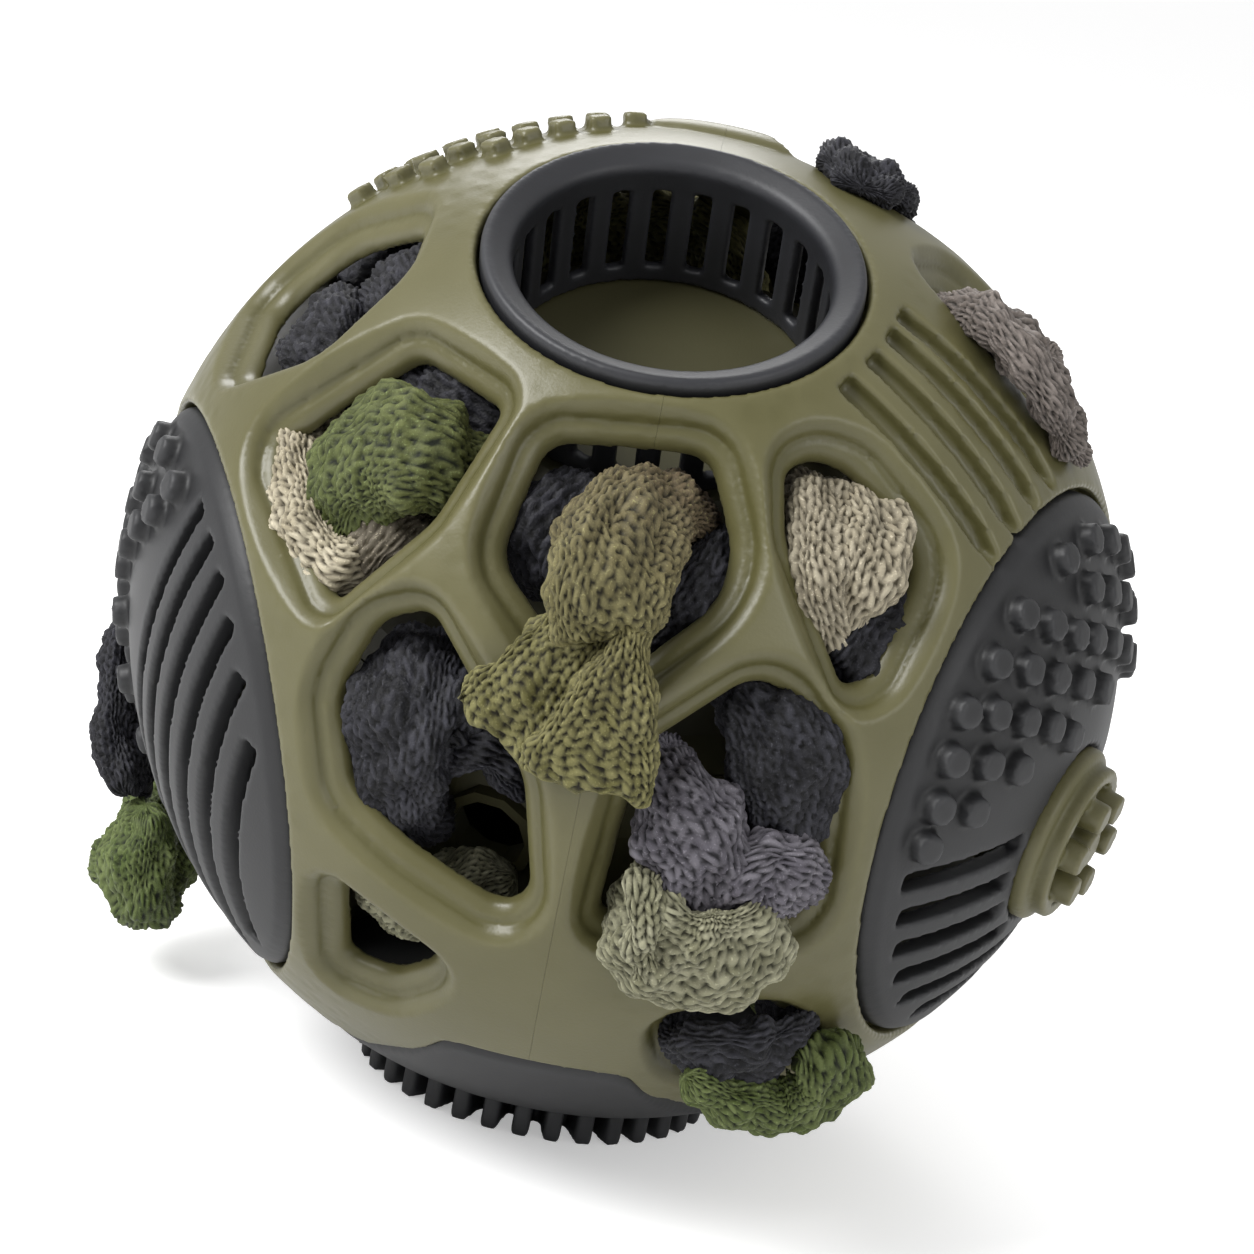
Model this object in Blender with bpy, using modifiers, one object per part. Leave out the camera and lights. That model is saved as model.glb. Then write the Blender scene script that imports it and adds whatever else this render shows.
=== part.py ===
# Snuffle puzzle ball: a windowed rubber ball round a hollow treat core, with a lift-out
# treat collar, three side discs, two turning hub knobs, a toothed foot and knotted cloth strips.
# Metres, +Z up. The origin is the middle of the pad under the foot, on the standing surface.
# Directions on the ball are (azimuth, elevation) in degrees: azimuth -90 is the front.
import math

import bmesh
import bpy
from mathutils import Matrix, Vector

# Ball, the rubber shell
BALL_RADIUS = 0.075
SHELL_WALL = 0.006
SEAM_AZIMUTH = -85.5
SPHERE_TURN = 17.0
GAP = 0.0003
WELD = 0.000005
OVERRUN = 0.003
TOOTH_DROP = 0.0070

# Windows in the shell
WINDOW_LIP = 0.0042
WINDOW_LIP_DEPTH = 0.0034
WINDOW_CORNER = 0.0035
CLEAR_SHARE = 1.25
CORNER_STEPS = 1

# Treat collar and its place on the ball
CUP_AZIMUTH = -90.0
CUP_ELEVATION = 60.0
RIM_RADIUS_SHARE = 0.3573
RIM_WIDTH = 0.0046
RIM_THICKNESS = 0.0044
RIM_PROUD = 0.0008
BASKET_WALL = 0.0018
BASKET_RIM_LAP = 0.0014
SLOT_COUNT = 24
SLOT_WIDTH = 0.0024
SLOT_TOP_BAND = 0.0035
SLOT_HOOP = 0.0025

# Hollow treat core
CORE_CLEARANCE = 0.020
CORE_WALL = 0.003
CORE_FLOOR_DROP = 0.0064
CORE_SPLIT_SHARE = 0.3636
CORE_HOLE_RADIUS = 0.0056
CORE_HOLE_LIP = 0.0016
CORE_HOLE_LIP_HEIGHT = 0.0016
CORE_BOSS_RADIUS = 0.0085

# Side discs
DISC_RADIUS_SHARE = 0.5533
DISC_THICKNESS = 0.0032
DISC_RIM_BEVEL = 0.0008
DISC_SEAT_WIDTH = 0.0038
DISC_PLAY = 0.0006
HUB_PAD_RADIUS = 0.0110
HUB_PAD_THICKNESS = 0.0010
STUD_RADIUS = 0.0024
STUD_HEIGHT = 0.0023
STUD_TOP_SHARE = 0.86
STUD_ROOT = 0.0008
STUD_PITCH = 0.0100
STUD_RING_PITCH_SHARE = 0.152
STUD_RINGS = 4
STUD_EDGE_MARGIN = 0.0052
VENT_WIDTH = 0.0028
VENT_PITCH_SHARE = 0.1458
VENT_COUNT = 6
VENT_FIRST_DROP = 0.0015
VENT_RIM_MARGIN = 0.0040
VENT_HUB_MARGIN = 0.0020

# Hub knobs
KNOB_RADIUS = 0.0135
KNOB_FLANGE_HEIGHT = 0.0052
KNOB_RIM_WIDTH = 0.0024
KNOB_DISH_DEPTH = 0.0016
KNOB_SINK = 0.0022
KNOB_BEVEL = 0.0008
KNOB_SHANK_RADIUS = 0.0050
KNOB_SHANK_LAP = 0.0012
LUG_COUNT = 5
LUG_RADIUS = 0.0026
LUG_HEIGHT = 0.0042
LUG_CIRCLE_RADIUS = 0.0080
KNOB_BOSS_RADIUS = 0.0034
KNOB_BOSS_HEIGHT = 0.0034

# Foot plate
FOOT_FLAT_SHARE = 0.896
FOOT_SKIN = 0.0026
FOOT_LOBE_SHARE = 0.7267
FOOT_LOBE_SHOULDER_SHARE = 0.6667
FOOT_WAIST_SHARE = 0.56
FOOT_LOBE_HALF_ANGLE = 13.5
FOOT_SHOULDER_ANGLE = 18.5
FOOT_WAIST_ANGLE = 36.0
FOOT_LOBE_AZIMUTHS = (-84.5, 35.5, 155.5)
FOOT_PLAY = 0.0005
FOOT_SEAT_SHARE = 0.48
TOOTH_COUNT = 36
TOOTH_WIDTH_SHARE = 0.036
TOOTH_INNER_SHARE = 0.26
TOOTH_OUTER_SHARE = 0.38
PAD_RADIUS = 0.0090
STEM_RADIUS = 0.0060
STEM_LAP = 0.0054

# Grip patterns moulded on the shell
GROOVE_RADIUS = 0.0017
GROOVE_DEPTH = 0.0012
GROOVE_POINTS = 6
BLOCK_WIDTH = 0.0030
BLOCK_LENGTH = 0.0046
BLOCK_HEIGHT = 0.0020
BLOCK_PITCH = 0.0044
BLOCK_ROOT = 0.0010
BLOCK_ROWS = 3
BLOCK_ROW_PITCH = 0.0060
BLOCK_FIRST_SHARE = 0.46
BLOCK_START_ANGLE = 97.0
BLOCK_END_ANGLE = 152.0

# Directions of the three side discs, with the turn of each disc's pattern about its own axis
DISCS = {
    "left": (-154.5, -15.5, 65.0),
    "right": (-18.0, -3.2, 12.0),
    "rear": (94.5, 0.0, 40.0),
}

# Axes of the hub knobs, which stand a little below the middles of their discs
KNOBS = {"right": (-17.2, -8.2), "rear": (94.5, -5.0)}

# Corners of each window's inner edge
WINDOWS = {
    "front": [(-99, 31), (-79, 33), (-74, 22), (-75, 18), (-81, 12), (-86, 6), (-100, 18)],
    "front_left_upper": [(-135, 22), (-122, 37), (-106, 34), (-109, 20), (-118, 8), (-134, 19)],
    "front_right_upper": [(-68, 34), (-64, 36), (-59, 34.5), (-52, 27), (-52, 24), (-56, 14),
                          (-59, 13), (-67, 26)],
    "front_left": [(-106, 11), (-92, -4), (-89, -18), (-92, -21), (-105, -16), (-112, -12),
                   (-115, -1), (-112, 8)],
    "front_right": [(-70, 11), (-66, 10.5), (-60, 4), (-57.5, -14), (-60, -17), (-81, -19),
                    (-80, 2)],
    "left_upper": [(-152, 25), (-168, 33), (-164, 44), (-147, 52), (-135, 44), (-137, 33)],
    "left_lower": [(-113, -24), (-100, -30), (-101, -33), (-108, -38), (-116, -38)],
    "right_upper": [(-25, 60), (-24, 53), (-14, 38), (-2, 36), (4, 46), (-5, 59)],
    "right_lower": [(-69, -32), (-64, -40), (-49, -43), (-44, -39), (-53, -31), (-58, -28.5)],
    "top_right": [(16, 62), (8, 73), (45, 80), (72, 68), (58, 57), (33, 55)],
    "top_rear": [(100, 65), (84, 53), (97, 43), (121, 41), (131, 50), (121, 63)],
    "rear_left_upper": [(146, 36), (143, 47), (159, 55), (174, 50), (177, 39), (163, 32)],
    "rear_right_upper": [(20, 34), (36, 32), (56, 34), (60, 42), (40, 46), (18, 42)],
    "rear_left": [(137, 18), (152, 23), (168, 16), (166, 2), (151, -1), (137, 3)],
    "rear_left_lower": [(138, -10), (163, -9.5), (157, -26), (146, -31), (136, -24)],
    "rear_right": [(26, 16), (38, 21), (52, 16), (53, 3), (38, 0), (25, 3)],
    "rear_right_lower": [(25, -9), (53, -9), (50, -26), (38, -32), (27, -26)],
}

# Grip grooves between the collar and the right disc, each from its upper to its lower end
GROOVES = [((-44, 53), (-26, 34)), ((-49, 50), (-32, 32)), ((-54, 47), (-37, 29)),
           ((-60, 44), (-42, 26.5))]

# Middles of the lipped holes in the core
CORE_HOLES = [(-76, 24), (-99, -22), (-58, -20), (-125, 24), (-30, 36), (150, 26),
              (38, 14), (150, -28), (38, -30), (30, 58)]

# Cloth strips, as lines of (azimuth, elevation, rise, width, thickness), the last three in shares
CLOTH = {
    "olive_knot": ("olive_cloth", [
        [(-88, 29, 0.065, 0.12, 0.25), (-87, 25, 0.65, 0.16, 0.45),
         (-86, 19.5, 0.925, 0.24, 0.65), (-86, 14, 1.125, 0.2, 0.4)],
        [(-85.5, 17, 1.15, 0.16, 0.3), (-90.5, 11.5, 1.17, 0.16, 0.18),
         (-95, 7, 1.16, 0.2, 0.15), (-98, 3, 1.14, 0.2267, 0.15)],
        [(-86.5, 17, 1.15, 0.16, 0.3), (-86, 9, 1.175, 0.1467, 0.18),
         (-85, 2, 1.165, 0.2133, 0.15), (-84.5, -3.5, 1.14, 0.2667, 0.15)]]),
    "charcoal_front_left": ("charcoal", [
        [(-99.5, 28, 0.105, 0.0933, 0.3), (-98, 24, 0.4, 0.12, 0.45),
         (-96.5, 18, 0.4, 0.12, 0.45), (-94, 13.5, 0.12, 0.0933, 0.3)]]),
    "charcoal_front_right": ("charcoal", [
        [(-71, 24, 0.2, 0.1067, 0.35), (-76, 18, 0.425, 0.1467, 0.45),
         (-80.5, 13, 0.4, 0.1333, 0.45), (-85, 7, 0.19, 0.1067, 0.35)]]),
    "moss_band": ("moss", [
        [(-107.5, 28.5, 0.09, 0.1333, 0.3), (-110, 27, 0.475, 0.1867, 0.35),
         (-115, 25, 0.675, 0.1867, 0.4), (-119.5, 24, 0.525, 0.16, 0.35),
         (-123, 24.5, 0.09, 0.1067, 0.3)]]),
    "cream_loop": ("cream", [
        [(-134.5, 24, 0.18, 0.0933, 0.25), (-129, 16.5, 0.45, 0.12, 0.3),
         (-122, 11.5, 0.5, 0.12, 0.3), (-115.5, 12, 0.425, 0.1067, 0.3),
         (-112, 14, 0.085, 0.08, 0.25)]]),
    "charcoal_behind_moss": ("charcoal", [
        [(-111.5, 35.5, 0.115, 0.08, 0.3), (-117, 37, 0.4, 0.12, 0.4),
         (-124, 35, 0.13, 0.0933, 0.3)]]),
    "charcoal_fold_left": ("charcoal", [
        [(-163, 34, 0.13, 0.12, 0.3), (-154, 35.5, 0.475, 0.1733, 0.4),
         (-146, 34, 0.45, 0.16, 0.4), (-138, 29, 0.14, 0.12, 0.3)]]),
    "charcoal_fold_right": ("charcoal", [
        [(-156, 50, 0.125, 0.1067, 0.3), (-148, 47.5, 0.425, 0.1467, 0.4),
         (-140, 44.5, 0.425, 0.1467, 0.4), (-132, 41, 0.135, 0.1067, 0.3)]]),
    "charcoal_crumple_left": ("charcoal", [
        [(-107.5, 4.5, 0.08, 0.1067, 0.3), (-106.5, 1, 0.5, 0.1467, 0.4),
         (-106, -4.5, 0.65, 0.16, 0.5), (-107, -10.5, 0.45, 0.1467, 0.4),
         (-109, -16, 0.12, 0.1067, 0.3)]]),
    "charcoal_crumple_right": ("charcoal", [
        [(-100, 10, 0.125, 0.0933, 0.3), (-98, 4.5, 0.425, 0.12, 0.4),
         (-96, -2.5, 0.4, 0.1067, 0.4), (-95, -9, 0.135, 0.0933, 0.3)]]),
    "sage_lump": ("sage", [
        [(-118, -34, 0.18, 0.1067, 0.3), (-111, -31, 0.425, 0.16, 0.45),
         (-104, -28.5, 0.4, 0.1467, 0.45), (-96.5, -26.5, 0.2, 0.1067, 0.3)]]),
    "charcoal_strip": ("charcoal", [
        [(-69.5, 10, 0.09, 0.0933, 0.3), (-67, 7, 0.45, 0.1467, 0.35),
         (-63.5, 2, 0.475, 0.1733, 0.35), (-61, -5, 0.13, 0.1333, 0.3)]]),
    "lilac_knot": ("lilac_grey", [
        [(-79, 3.5, 0.1, 0.1067, 0.3), (-76, -0.5, 0.525, 0.1467, 0.4),
         (-73, -4, 0.8, 0.2133, 0.5), (-69.5, -6, 0.825, 0.1733, 0.4)]]),
    "sage_wrap": ("sage", [
        [(-73.5, -13, 0.03, 0.16, 0.2), (-72, -14.2, 0.9, 0.2, 0.2),
         (-70, -16.5, 1.175, 0.24, 0.2), (-68, -21, 1.22, 0.2667, 0.2),
         (-66.5, -26, 1.2, 0.24, 0.2)]]),
    "charcoal_lower": ("charcoal", [
        [(-66.5, -34, 0.035, 0.08, 0.2), (-64.7, -34.6, 0.6, 0.09, 0.2),
         (-61.7, -35.2, 0.88, 0.11, 0.3), (-58.7, -35.8, 0.6, 0.0933, 0.2),
         (-57.6, -36, 0.03, 0.0667, 0.2)]]),
    "moss_lower": ("moss", [
        [(-51, -35, 0.04, 0.08, 0.25), (-51, -37, 0.8, 0.08, 0.3),
         (-50.8, -39.4, 1.21, 0.1067, 0.275), (-47, -44.5, 1.26, 0.1733, 0.3),
         (-41, -44.5, 1.27, 0.1867, 0.3), (-36, -40, 1.25, 0.1333, 0.3)]]),
    "beige_knot": ("cream", [
        [(-69, 33, 0.1, 0.1067, 0.25), (-65.5, 30, 0.45, 0.1333, 0.35),
         (-60.5, 26, 0.65, 0.16, 0.45), (-56.5, 24, 0.475, 0.1333, 0.35),
         (-52.5, 23.5, 0.09, 0.1067, 0.25)]]),
    "charcoal_under_beige": ("charcoal", [
        [(-63.5, 11.5, 0.1, 0.08, 0.25), (-59.5, 15.6, 0.4, 0.1067, 0.35),
         (-54.5, 14.5, 0.1, 0.08, 0.25)]]),
    "taupe_strip": ("taupe", [
        [(-14, 61, 0.095, 0.12, 0.25), (-11.5, 54.5, 0.575, 0.16, 0.35),
         (-11, 47.5, 0.75, 0.1667, 0.4), (-10.5, 42.5, 0.5, 0.1467, 0.25),
         (-11, 36, 0.1, 0.12, 0.25)]]),
    "charcoal_lump": ("charcoal", [
        [(46, 66, 0.115, 0.1333, 0.3), (34, 68.5, 0.7, 0.1867, 0.4),
         (18, 71.5, 1.125, 0.1867, 0.3), (-2, 73, 1.225, 0.1733, 0.35),
         (-18, 72.5, 1.2, 0.12, 0.25)]]),
    "moss_hanging": ("moss", [
        [(148, -16, 0.035, 0.12, 0.3), (150, -19, 0.75, 0.1467, 0.4),
         (155, -27, 1.25, 0.1733, 0.45), (164, -36, 1.65, 0.1867, 0.5),
         (174, -39, 1.8, 0.1733, 0.5), (180, -38.5, 1.75, 0.1333, 0.4)]]),
    "charcoal_hanging": ("charcoal", [
        [(154, 9, 0.055, 0.12, 0.3), (157, 8, 0.775, 0.1333, 0.35),
         (161, 3.5, 1.25, 0.1467, 0.3), (165, -4, 1.325, 0.16, 0.3), (170.5, -14, 1.375, 0.1733, 0.3),
         (176, -23, 1.425, 0.1733, 0.3), (179, -28.5, 1.4, 0.1467, 0.3)]]),
    "taupe_rear_knot": ("taupe", [
        [(28, 14, 0.175, 0.12, 0.3), (34, 12, 0.6, 0.1733, 0.45),
         (40, 9, 0.75, 0.2, 0.55), (47, 7, 0.55, 0.16, 0.4),
         (53, 6, 0.125, 0.12, 0.3)]]),
    "sage_rear_fold": ("sage", [
        [(25, -14, 0.135, 0.12, 0.3), (33, -17, 0.5, 0.16, 0.4),
         (42, -19, 0.525, 0.16, 0.4), (52, -18, 0.135, 0.12, 0.3)]]),
    "olive_rear_fold": ("olive_cloth", [
        [(88, 50, 0.11, 0.12, 0.3), (98, 52, 0.475, 0.1733, 0.4),
         (111, 53, 0.5, 0.1733, 0.4), (124, 50, 0.12, 0.12, 0.3)]]),
    "charcoal_rear_fold": ("charcoal", [
        [(178, 44, 0.125, 0.12, 0.3), (167, 43, 0.45, 0.16, 0.4),
         (156, 43, 0.475, 0.16, 0.4), (146, 41, 0.115, 0.12, 0.3)]]),
}
CLOTH_SIDES = 8

COLOURS = {
    "olive": (0.19, 0.19, 0.10, 1.0),
    "core_olive": (0.15, 0.15, 0.075, 1.0),
    "dark_grey": (0.045, 0.046, 0.052, 1.0),
    "charcoal": (0.035, 0.036, 0.050, 1.0),
    "lilac_grey": (0.17, 0.165, 0.19, 1.0),
    "sage": (0.33, 0.34, 0.23, 1.0),
    "cream": (0.50, 0.46, 0.35, 1.0),
    "olive_cloth": (0.16, 0.17, 0.065, 1.0),
    "moss": (0.12, 0.18, 0.045, 1.0),
    "taupe": (0.24, 0.21, 0.19, 1.0),
}
ROUGHNESS = {"olive": 0.42, "core_olive": 0.45, "dark_grey": 0.48}
CLOTH_ROUGHNESS = 0.92

FOOT_FLAT_DEPTH = BALL_RADIUS * FOOT_FLAT_SHARE
CENTRE_HEIGHT = FOOT_FLAT_DEPTH + TOOTH_DROP
BALL_CENTRE = Vector((0.0, 0.0, CENTRE_HEIGHT))
CORE_RADIUS = BALL_RADIUS - CORE_CLEARANCE
CORE_FLOOR_HEIGHT = CORE_RADIUS - CORE_FLOOR_DROP
DISC_RADIUS = BALL_RADIUS * DISC_RADIUS_SHARE
VENT_PITCH = DISC_RADIUS * VENT_PITCH_SHARE
STUD_RING_PITCH = DISC_RADIUS * STUD_RING_PITCH_SHARE
RIM_OUTER_RADIUS = BALL_RADIUS * RIM_RADIUS_SHARE
RIM_MOUTH_RADIUS = RIM_OUTER_RADIUS - RIM_WIDTH
FOOT_LOBE_RADIUS = BALL_RADIUS * FOOT_LOBE_SHARE
TOOTH_INNER_RADIUS = BALL_RADIUS * TOOTH_INNER_SHARE
TOOTH_OUTER_RADIUS = BALL_RADIUS * TOOTH_OUTER_SHARE
RIM_TOP = math.sqrt(BALL_RADIUS ** 2 - RIM_OUTER_RADIUS ** 2) + RIM_PROUD
BASKET_OUTER_RADIUS = RIM_MOUTH_RADIUS + BASKET_WALL
DISC_INNER_SPHERE = BALL_RADIUS - DISC_THICKNESS
FOOT_INNER_SPHERE = BALL_RADIUS - FOOT_SKIN
HUB_SEAT_HEIGHT = DISC_INNER_SPHERE - HUB_PAD_THICKNESS
KNOB_FLOOR = BALL_RADIUS - KNOB_SINK


def clear_scene():
    for item in list(bpy.data.objects):
        bpy.data.objects.remove(item, do_unlink=True)


clear_scene()
PARTS = bpy.data.collections.new("snuffle_puzzle_ball")
CUTTERS = bpy.data.collections.new("cutters")
bpy.context.scene.collection.children.link(PARTS)
bpy.context.scene.collection.children.link(CUTTERS)


# Directions and frames on the ball
def direction(azimuth, elevation):
    a = math.radians(azimuth)
    e = math.radians(elevation)
    return Vector((math.cos(a) * math.cos(e), math.sin(a) * math.cos(e), math.sin(e)))


def ball_point(azimuth, elevation, radius):
    return BALL_CENTRE + radius * direction(azimuth, elevation)


def ball_frame(azimuth, elevation, turn=0.0):
    """Local +Z points out of the ball, local +Y up along the surface."""
    out = direction(azimuth, elevation)
    up = direction(azimuth, elevation + 90.0)
    side = up.cross(out)
    frame = Matrix((side, up, out)).transposed().to_4x4()
    frame = frame @ Matrix.Rotation(math.radians(turn), 4, "Z")
    frame.translation = BALL_CENTRE
    return frame


CUP_FRAME = ball_frame(CUP_AZIMUTH, CUP_ELEVATION)


# Objects, materials and Boolean steps
def material(name):
    made = bpy.data.materials.get(name)
    if made is None:
        made = bpy.data.materials.new(name)
        made.use_nodes = True
        shader = made.node_tree.nodes["Principled BSDF"]
        shader.inputs["Base Color"].default_value = COLOURS[name]
        shader.inputs["Roughness"].default_value = ROUGHNESS.get(name, CLOTH_ROUGHNESS)
        shader.inputs["Metallic"].default_value = 0.0
        made.diffuse_color = COLOURS[name]
    return made


def add_object(name, mesh, collection, frame=None):
    made = bpy.data.objects.new(name, mesh)
    collection.objects.link(made)
    if frame is not None:
        made.matrix_world = frame
    if collection is CUTTERS:
        made.hide_render = True
        made.display_type = "WIRE"
    return made


def from_bmesh(name, shape, collection, frame=None):
    """An object from a closed bmesh, in flat triangles so that Boolean cuts stay exact."""
    bmesh.ops.triangulate(shape, faces=shape.faces)
    bmesh.ops.recalc_face_normals(shape, faces=shape.faces)
    mesh = bpy.data.meshes.new(name)
    shape.to_mesh(mesh)
    shape.free()
    return add_object(name, mesh, collection, frame)


def settle(target):
    """Replace the object's mesh by its evaluated one and drop its modifiers."""
    bpy.context.view_layer.update()
    graph = bpy.context.evaluated_depsgraph_get()
    mesh = bpy.data.meshes.new_from_object(target.evaluated_get(graph))
    target.modifiers.clear()
    target.data = mesh
    return target


def clean(target, flat_angle=0.0):
    """Weld and triangulate, after joining faces that lie flat within the angle in degrees."""
    shape = bmesh.new()
    shape.from_mesh(target.data)
    bmesh.ops.remove_doubles(shape, verts=shape.verts, dist=WELD)
    if flat_angle:
        bmesh.ops.dissolve_limit(shape, angle_limit=math.radians(flat_angle), verts=shape.verts,
                                 edges=shape.edges)
    bmesh.ops.dissolve_degenerate(shape, edges=shape.edges, dist=WELD)
    bmesh.ops.triangulate(shape, faces=shape.faces)
    shape.to_mesh(target.data)
    shape.free()


def cut(target, tool, operation="DIFFERENCE"):
    """One exact Boolean step, cleaned at once so that the next step starts from flat triangles."""
    step = target.modifiers.new(operation.lower() + "_" + tool.name, "BOOLEAN")
    step.operation = operation
    step.solver = "EXACT"
    step.object = tool
    settle(target)
    clean(target)


def finish_part(target, colour, flat_angle=1.0, smooth_angle=35.0):
    clean(target, flat_angle)
    target.data.materials.clear()
    target.data.materials.append(material(colour))
    target.data.shade_smooth()
    target.data.set_sharp_from_angle(angle=math.radians(smooth_angle))
    return target


# Basic shapes
def arc(radius, start, end, steps):
    """Points (r, z) of an arc about the ball's centre, by polar angle from +Z in degrees."""
    points = []
    for step in range(steps + 1):
        polar = math.radians(start + (end - start) * step / steps)
        points.append((radius * math.sin(polar), radius * math.cos(polar)))
    return points


def turned(name, profile, segments, collection, frame):
    """A solid of revolution about local Z, from a profile that runs down its outer side."""
    shape = bmesh.new()
    last = None
    for r, z in profile:
        vertex = shape.verts.new((r, 0.0, z))
        if last is not None:
            shape.edges.new((last, vertex))
        last = vertex
    mesh = bpy.data.meshes.new(name)
    shape.to_mesh(mesh)
    shape.free()
    made = add_object(name, mesh, collection, frame)
    screw = made.modifiers.new("turn", "SCREW")
    screw.angle = math.tau
    screw.steps = segments
    screw.render_steps = segments
    screw.use_merge_vertices = True
    screw.merge_threshold = WELD
    settle(made)
    shape = bmesh.new()
    shape.from_mesh(made.data)
    bmesh.ops.remove_doubles(shape, verts=shape.verts, dist=WELD)
    bmesh.ops.triangulate(shape, faces=shape.faces)
    bmesh.ops.recalc_face_normals(shape, faces=shape.faces)
    shape.to_mesh(made.data)
    shape.free()
    return made


def loft(name, rings, collection, frame=None):
    """A closed solid through rings of equally many points."""
    shape = bmesh.new()
    loops = [[shape.verts.new(point) for point in ring] for ring in rings]
    count = len(loops[0])
    for lower, upper in zip(loops, loops[1:]):
        for i in range(count):
            j = (i + 1) % count
            shape.faces.new((lower[i], lower[j], upper[j], upper[i]))
    shape.faces.new(loops[0])
    shape.faces.new(loops[-1])
    return from_bmesh(name, shape, collection, frame)


def blocks(name, sizes, places, collection, frame=None, bevel=0.0):
    """Boxes of one size at several places, as one object."""
    shape = bmesh.new()
    for place in places:
        made = bmesh.ops.create_cube(shape, size=1.0)
        bmesh.ops.scale(shape, vec=sizes, verts=made["verts"])
        if bevel:
            edges = {edge for vertex in made["verts"] for edge in vertex.link_edges}
            made = bmesh.ops.bevel(shape, geom=list(edges), offset=bevel, segments=1,
                                   profile=0.5, affect="EDGES", material=-1)
        bmesh.ops.transform(shape, matrix=place, verts=made["verts"])
    return from_bmesh(name, shape, collection, frame)


def rounded_outline(corners, growth, corner_radius, steps):
    """Grow a convex outline of 2D corners and round its corners with arcs."""
    count = len(corners)
    lines = []
    for i in range(count):
        start = Vector(corners[i])
        along = (Vector(corners[(i + 1) % count]) - start).normalized()
        outward = Vector((along.y, -along.x))
        lines.append((start + outward * growth, along))
    grown = []
    for i in range(count):
        p, d = lines[i - 1]
        q, e = lines[i]
        cross = d.x * e.y - d.y * e.x
        t = ((q.x - p.x) * e.y - (q.y - p.y) * e.x) / cross
        grown.append(p + d * t)
    outline = []
    for i in range(count):
        corner = grown[i]
        back = (grown[i - 1] - corner)
        ahead = (grown[(i + 1) % count] - corner)
        half = back.angle(ahead) / 2
        reach = (corner_radius + growth) / math.tan(half)
        reach = min(reach, 0.45 * back.length, 0.45 * ahead.length)
        radius = reach * math.tan(half)
        bisector = (back.normalized() + ahead.normalized()).normalized()
        middle = corner + bisector * (radius / math.sin(half))
        first = corner + back.normalized() * reach - middle
        last = corner + ahead.normalized() * reach - middle
        sweep = first.angle_signed(last)
        for step in range(steps + 1):
            turn = Matrix.Rotation(-sweep * step / steps, 2)
            outline.append(middle + turn @ first)
    return outline


# Windows
def window_frame(corners):
    total = Vector((0.0, 0.0, 0.0))
    for azimuth, elevation in corners:
        total += direction(azimuth, elevation)
    out = total.normalized()
    up = Vector((0.0, 0.0, 1.0))
    up = (up - out * up.dot(out)).normalized()
    return up.cross(out), up, out


def window_cutter(name, corners):
    side, up, out = window_frame(corners)
    flat = []
    for azimuth, elevation in corners:
        ray = direction(azimuth, elevation)
        ray = ray / ray.dot(out)
        flat.append(Vector((ray.dot(side), ray.dot(up))) * BALL_RADIUS)
    area = sum(flat[i - 1].cross(flat[i]) for i in range(len(flat)))
    if area < 0:
        flat.reverse()
    slope = WINDOW_LIP / WINDOW_LIP_DEPTH
    outer_growth = (WINDOW_LIP_DEPTH + OVERRUN) * slope
    levels = [(CORE_RADIUS, 0.0), (BALL_RADIUS - WINDOW_LIP_DEPTH, 0.0),
              (BALL_RADIUS + OVERRUN, outer_growth), (BALL_RADIUS * CLEAR_SHARE, outer_growth)]
    rings = []
    for radius, growth in levels:
        ring = []
        for point in rounded_outline(flat, growth, WINDOW_CORNER, CORNER_STEPS):
            ray = out + (side * point.x + up * point.y) / BALL_RADIUS
            ring.append(BALL_CENTRE + ray.normalized() * radius)
        rings.append(ring)
    return loft("window_" + name, rings, CUTTERS)


# Shell halves
def sphere(name, radius, subdivisions, collection):
    """A sphere whose facets are turned off the axes, so that no cut runs along its edges."""
    shape = bmesh.new()
    bmesh.ops.create_icosphere(shape, subdivisions=subdivisions, radius=radius)
    turn = Matrix.Rotation(math.radians(SPHERE_TURN), 3, Vector((1.0, 2.0, 3.0)))
    bmesh.ops.rotate(shape, matrix=turn, verts=shape.verts)
    return from_bmesh(name, shape, collection, Matrix.Translation(BALL_CENTRE))


def disc_frame(place):
    azimuth, elevation, turn = DISCS[place]
    return ball_frame(azimuth, elevation, turn)


def knob_frame(place):
    return ball_frame(*KNOBS[place])


def polar_of(radius, sphere_radius):
    return math.degrees(math.asin(radius / sphere_radius))


def disc_seat_cutters(place):
    """The round recess that the disc turns in, and the opening inside its ledge."""
    frame = disc_frame(place)
    recess_radius = DISC_RADIUS + DISC_PLAY
    floor = DISC_INNER_SPHERE - GAP
    top = BALL_RADIUS + OVERRUN
    profile = [(0.0, top), (recess_radius, top)]
    profile += arc(floor, polar_of(recess_radius, floor), 0.0, 5)
    recess = turned("disc_recess_" + place, profile, 32, CUTTERS, frame)
    opening_radius = DISC_RADIUS - DISC_SEAT_WIDTH
    bottom = CORE_RADIUS * math.cos(math.asin(opening_radius / CORE_RADIUS))
    profile = [(0.0, top), (opening_radius, top), (opening_radius, bottom), (0.0, bottom)]
    opening = turned("disc_opening_" + place, profile, 32, CUTTERS, frame)
    return [recess, opening]


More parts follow.
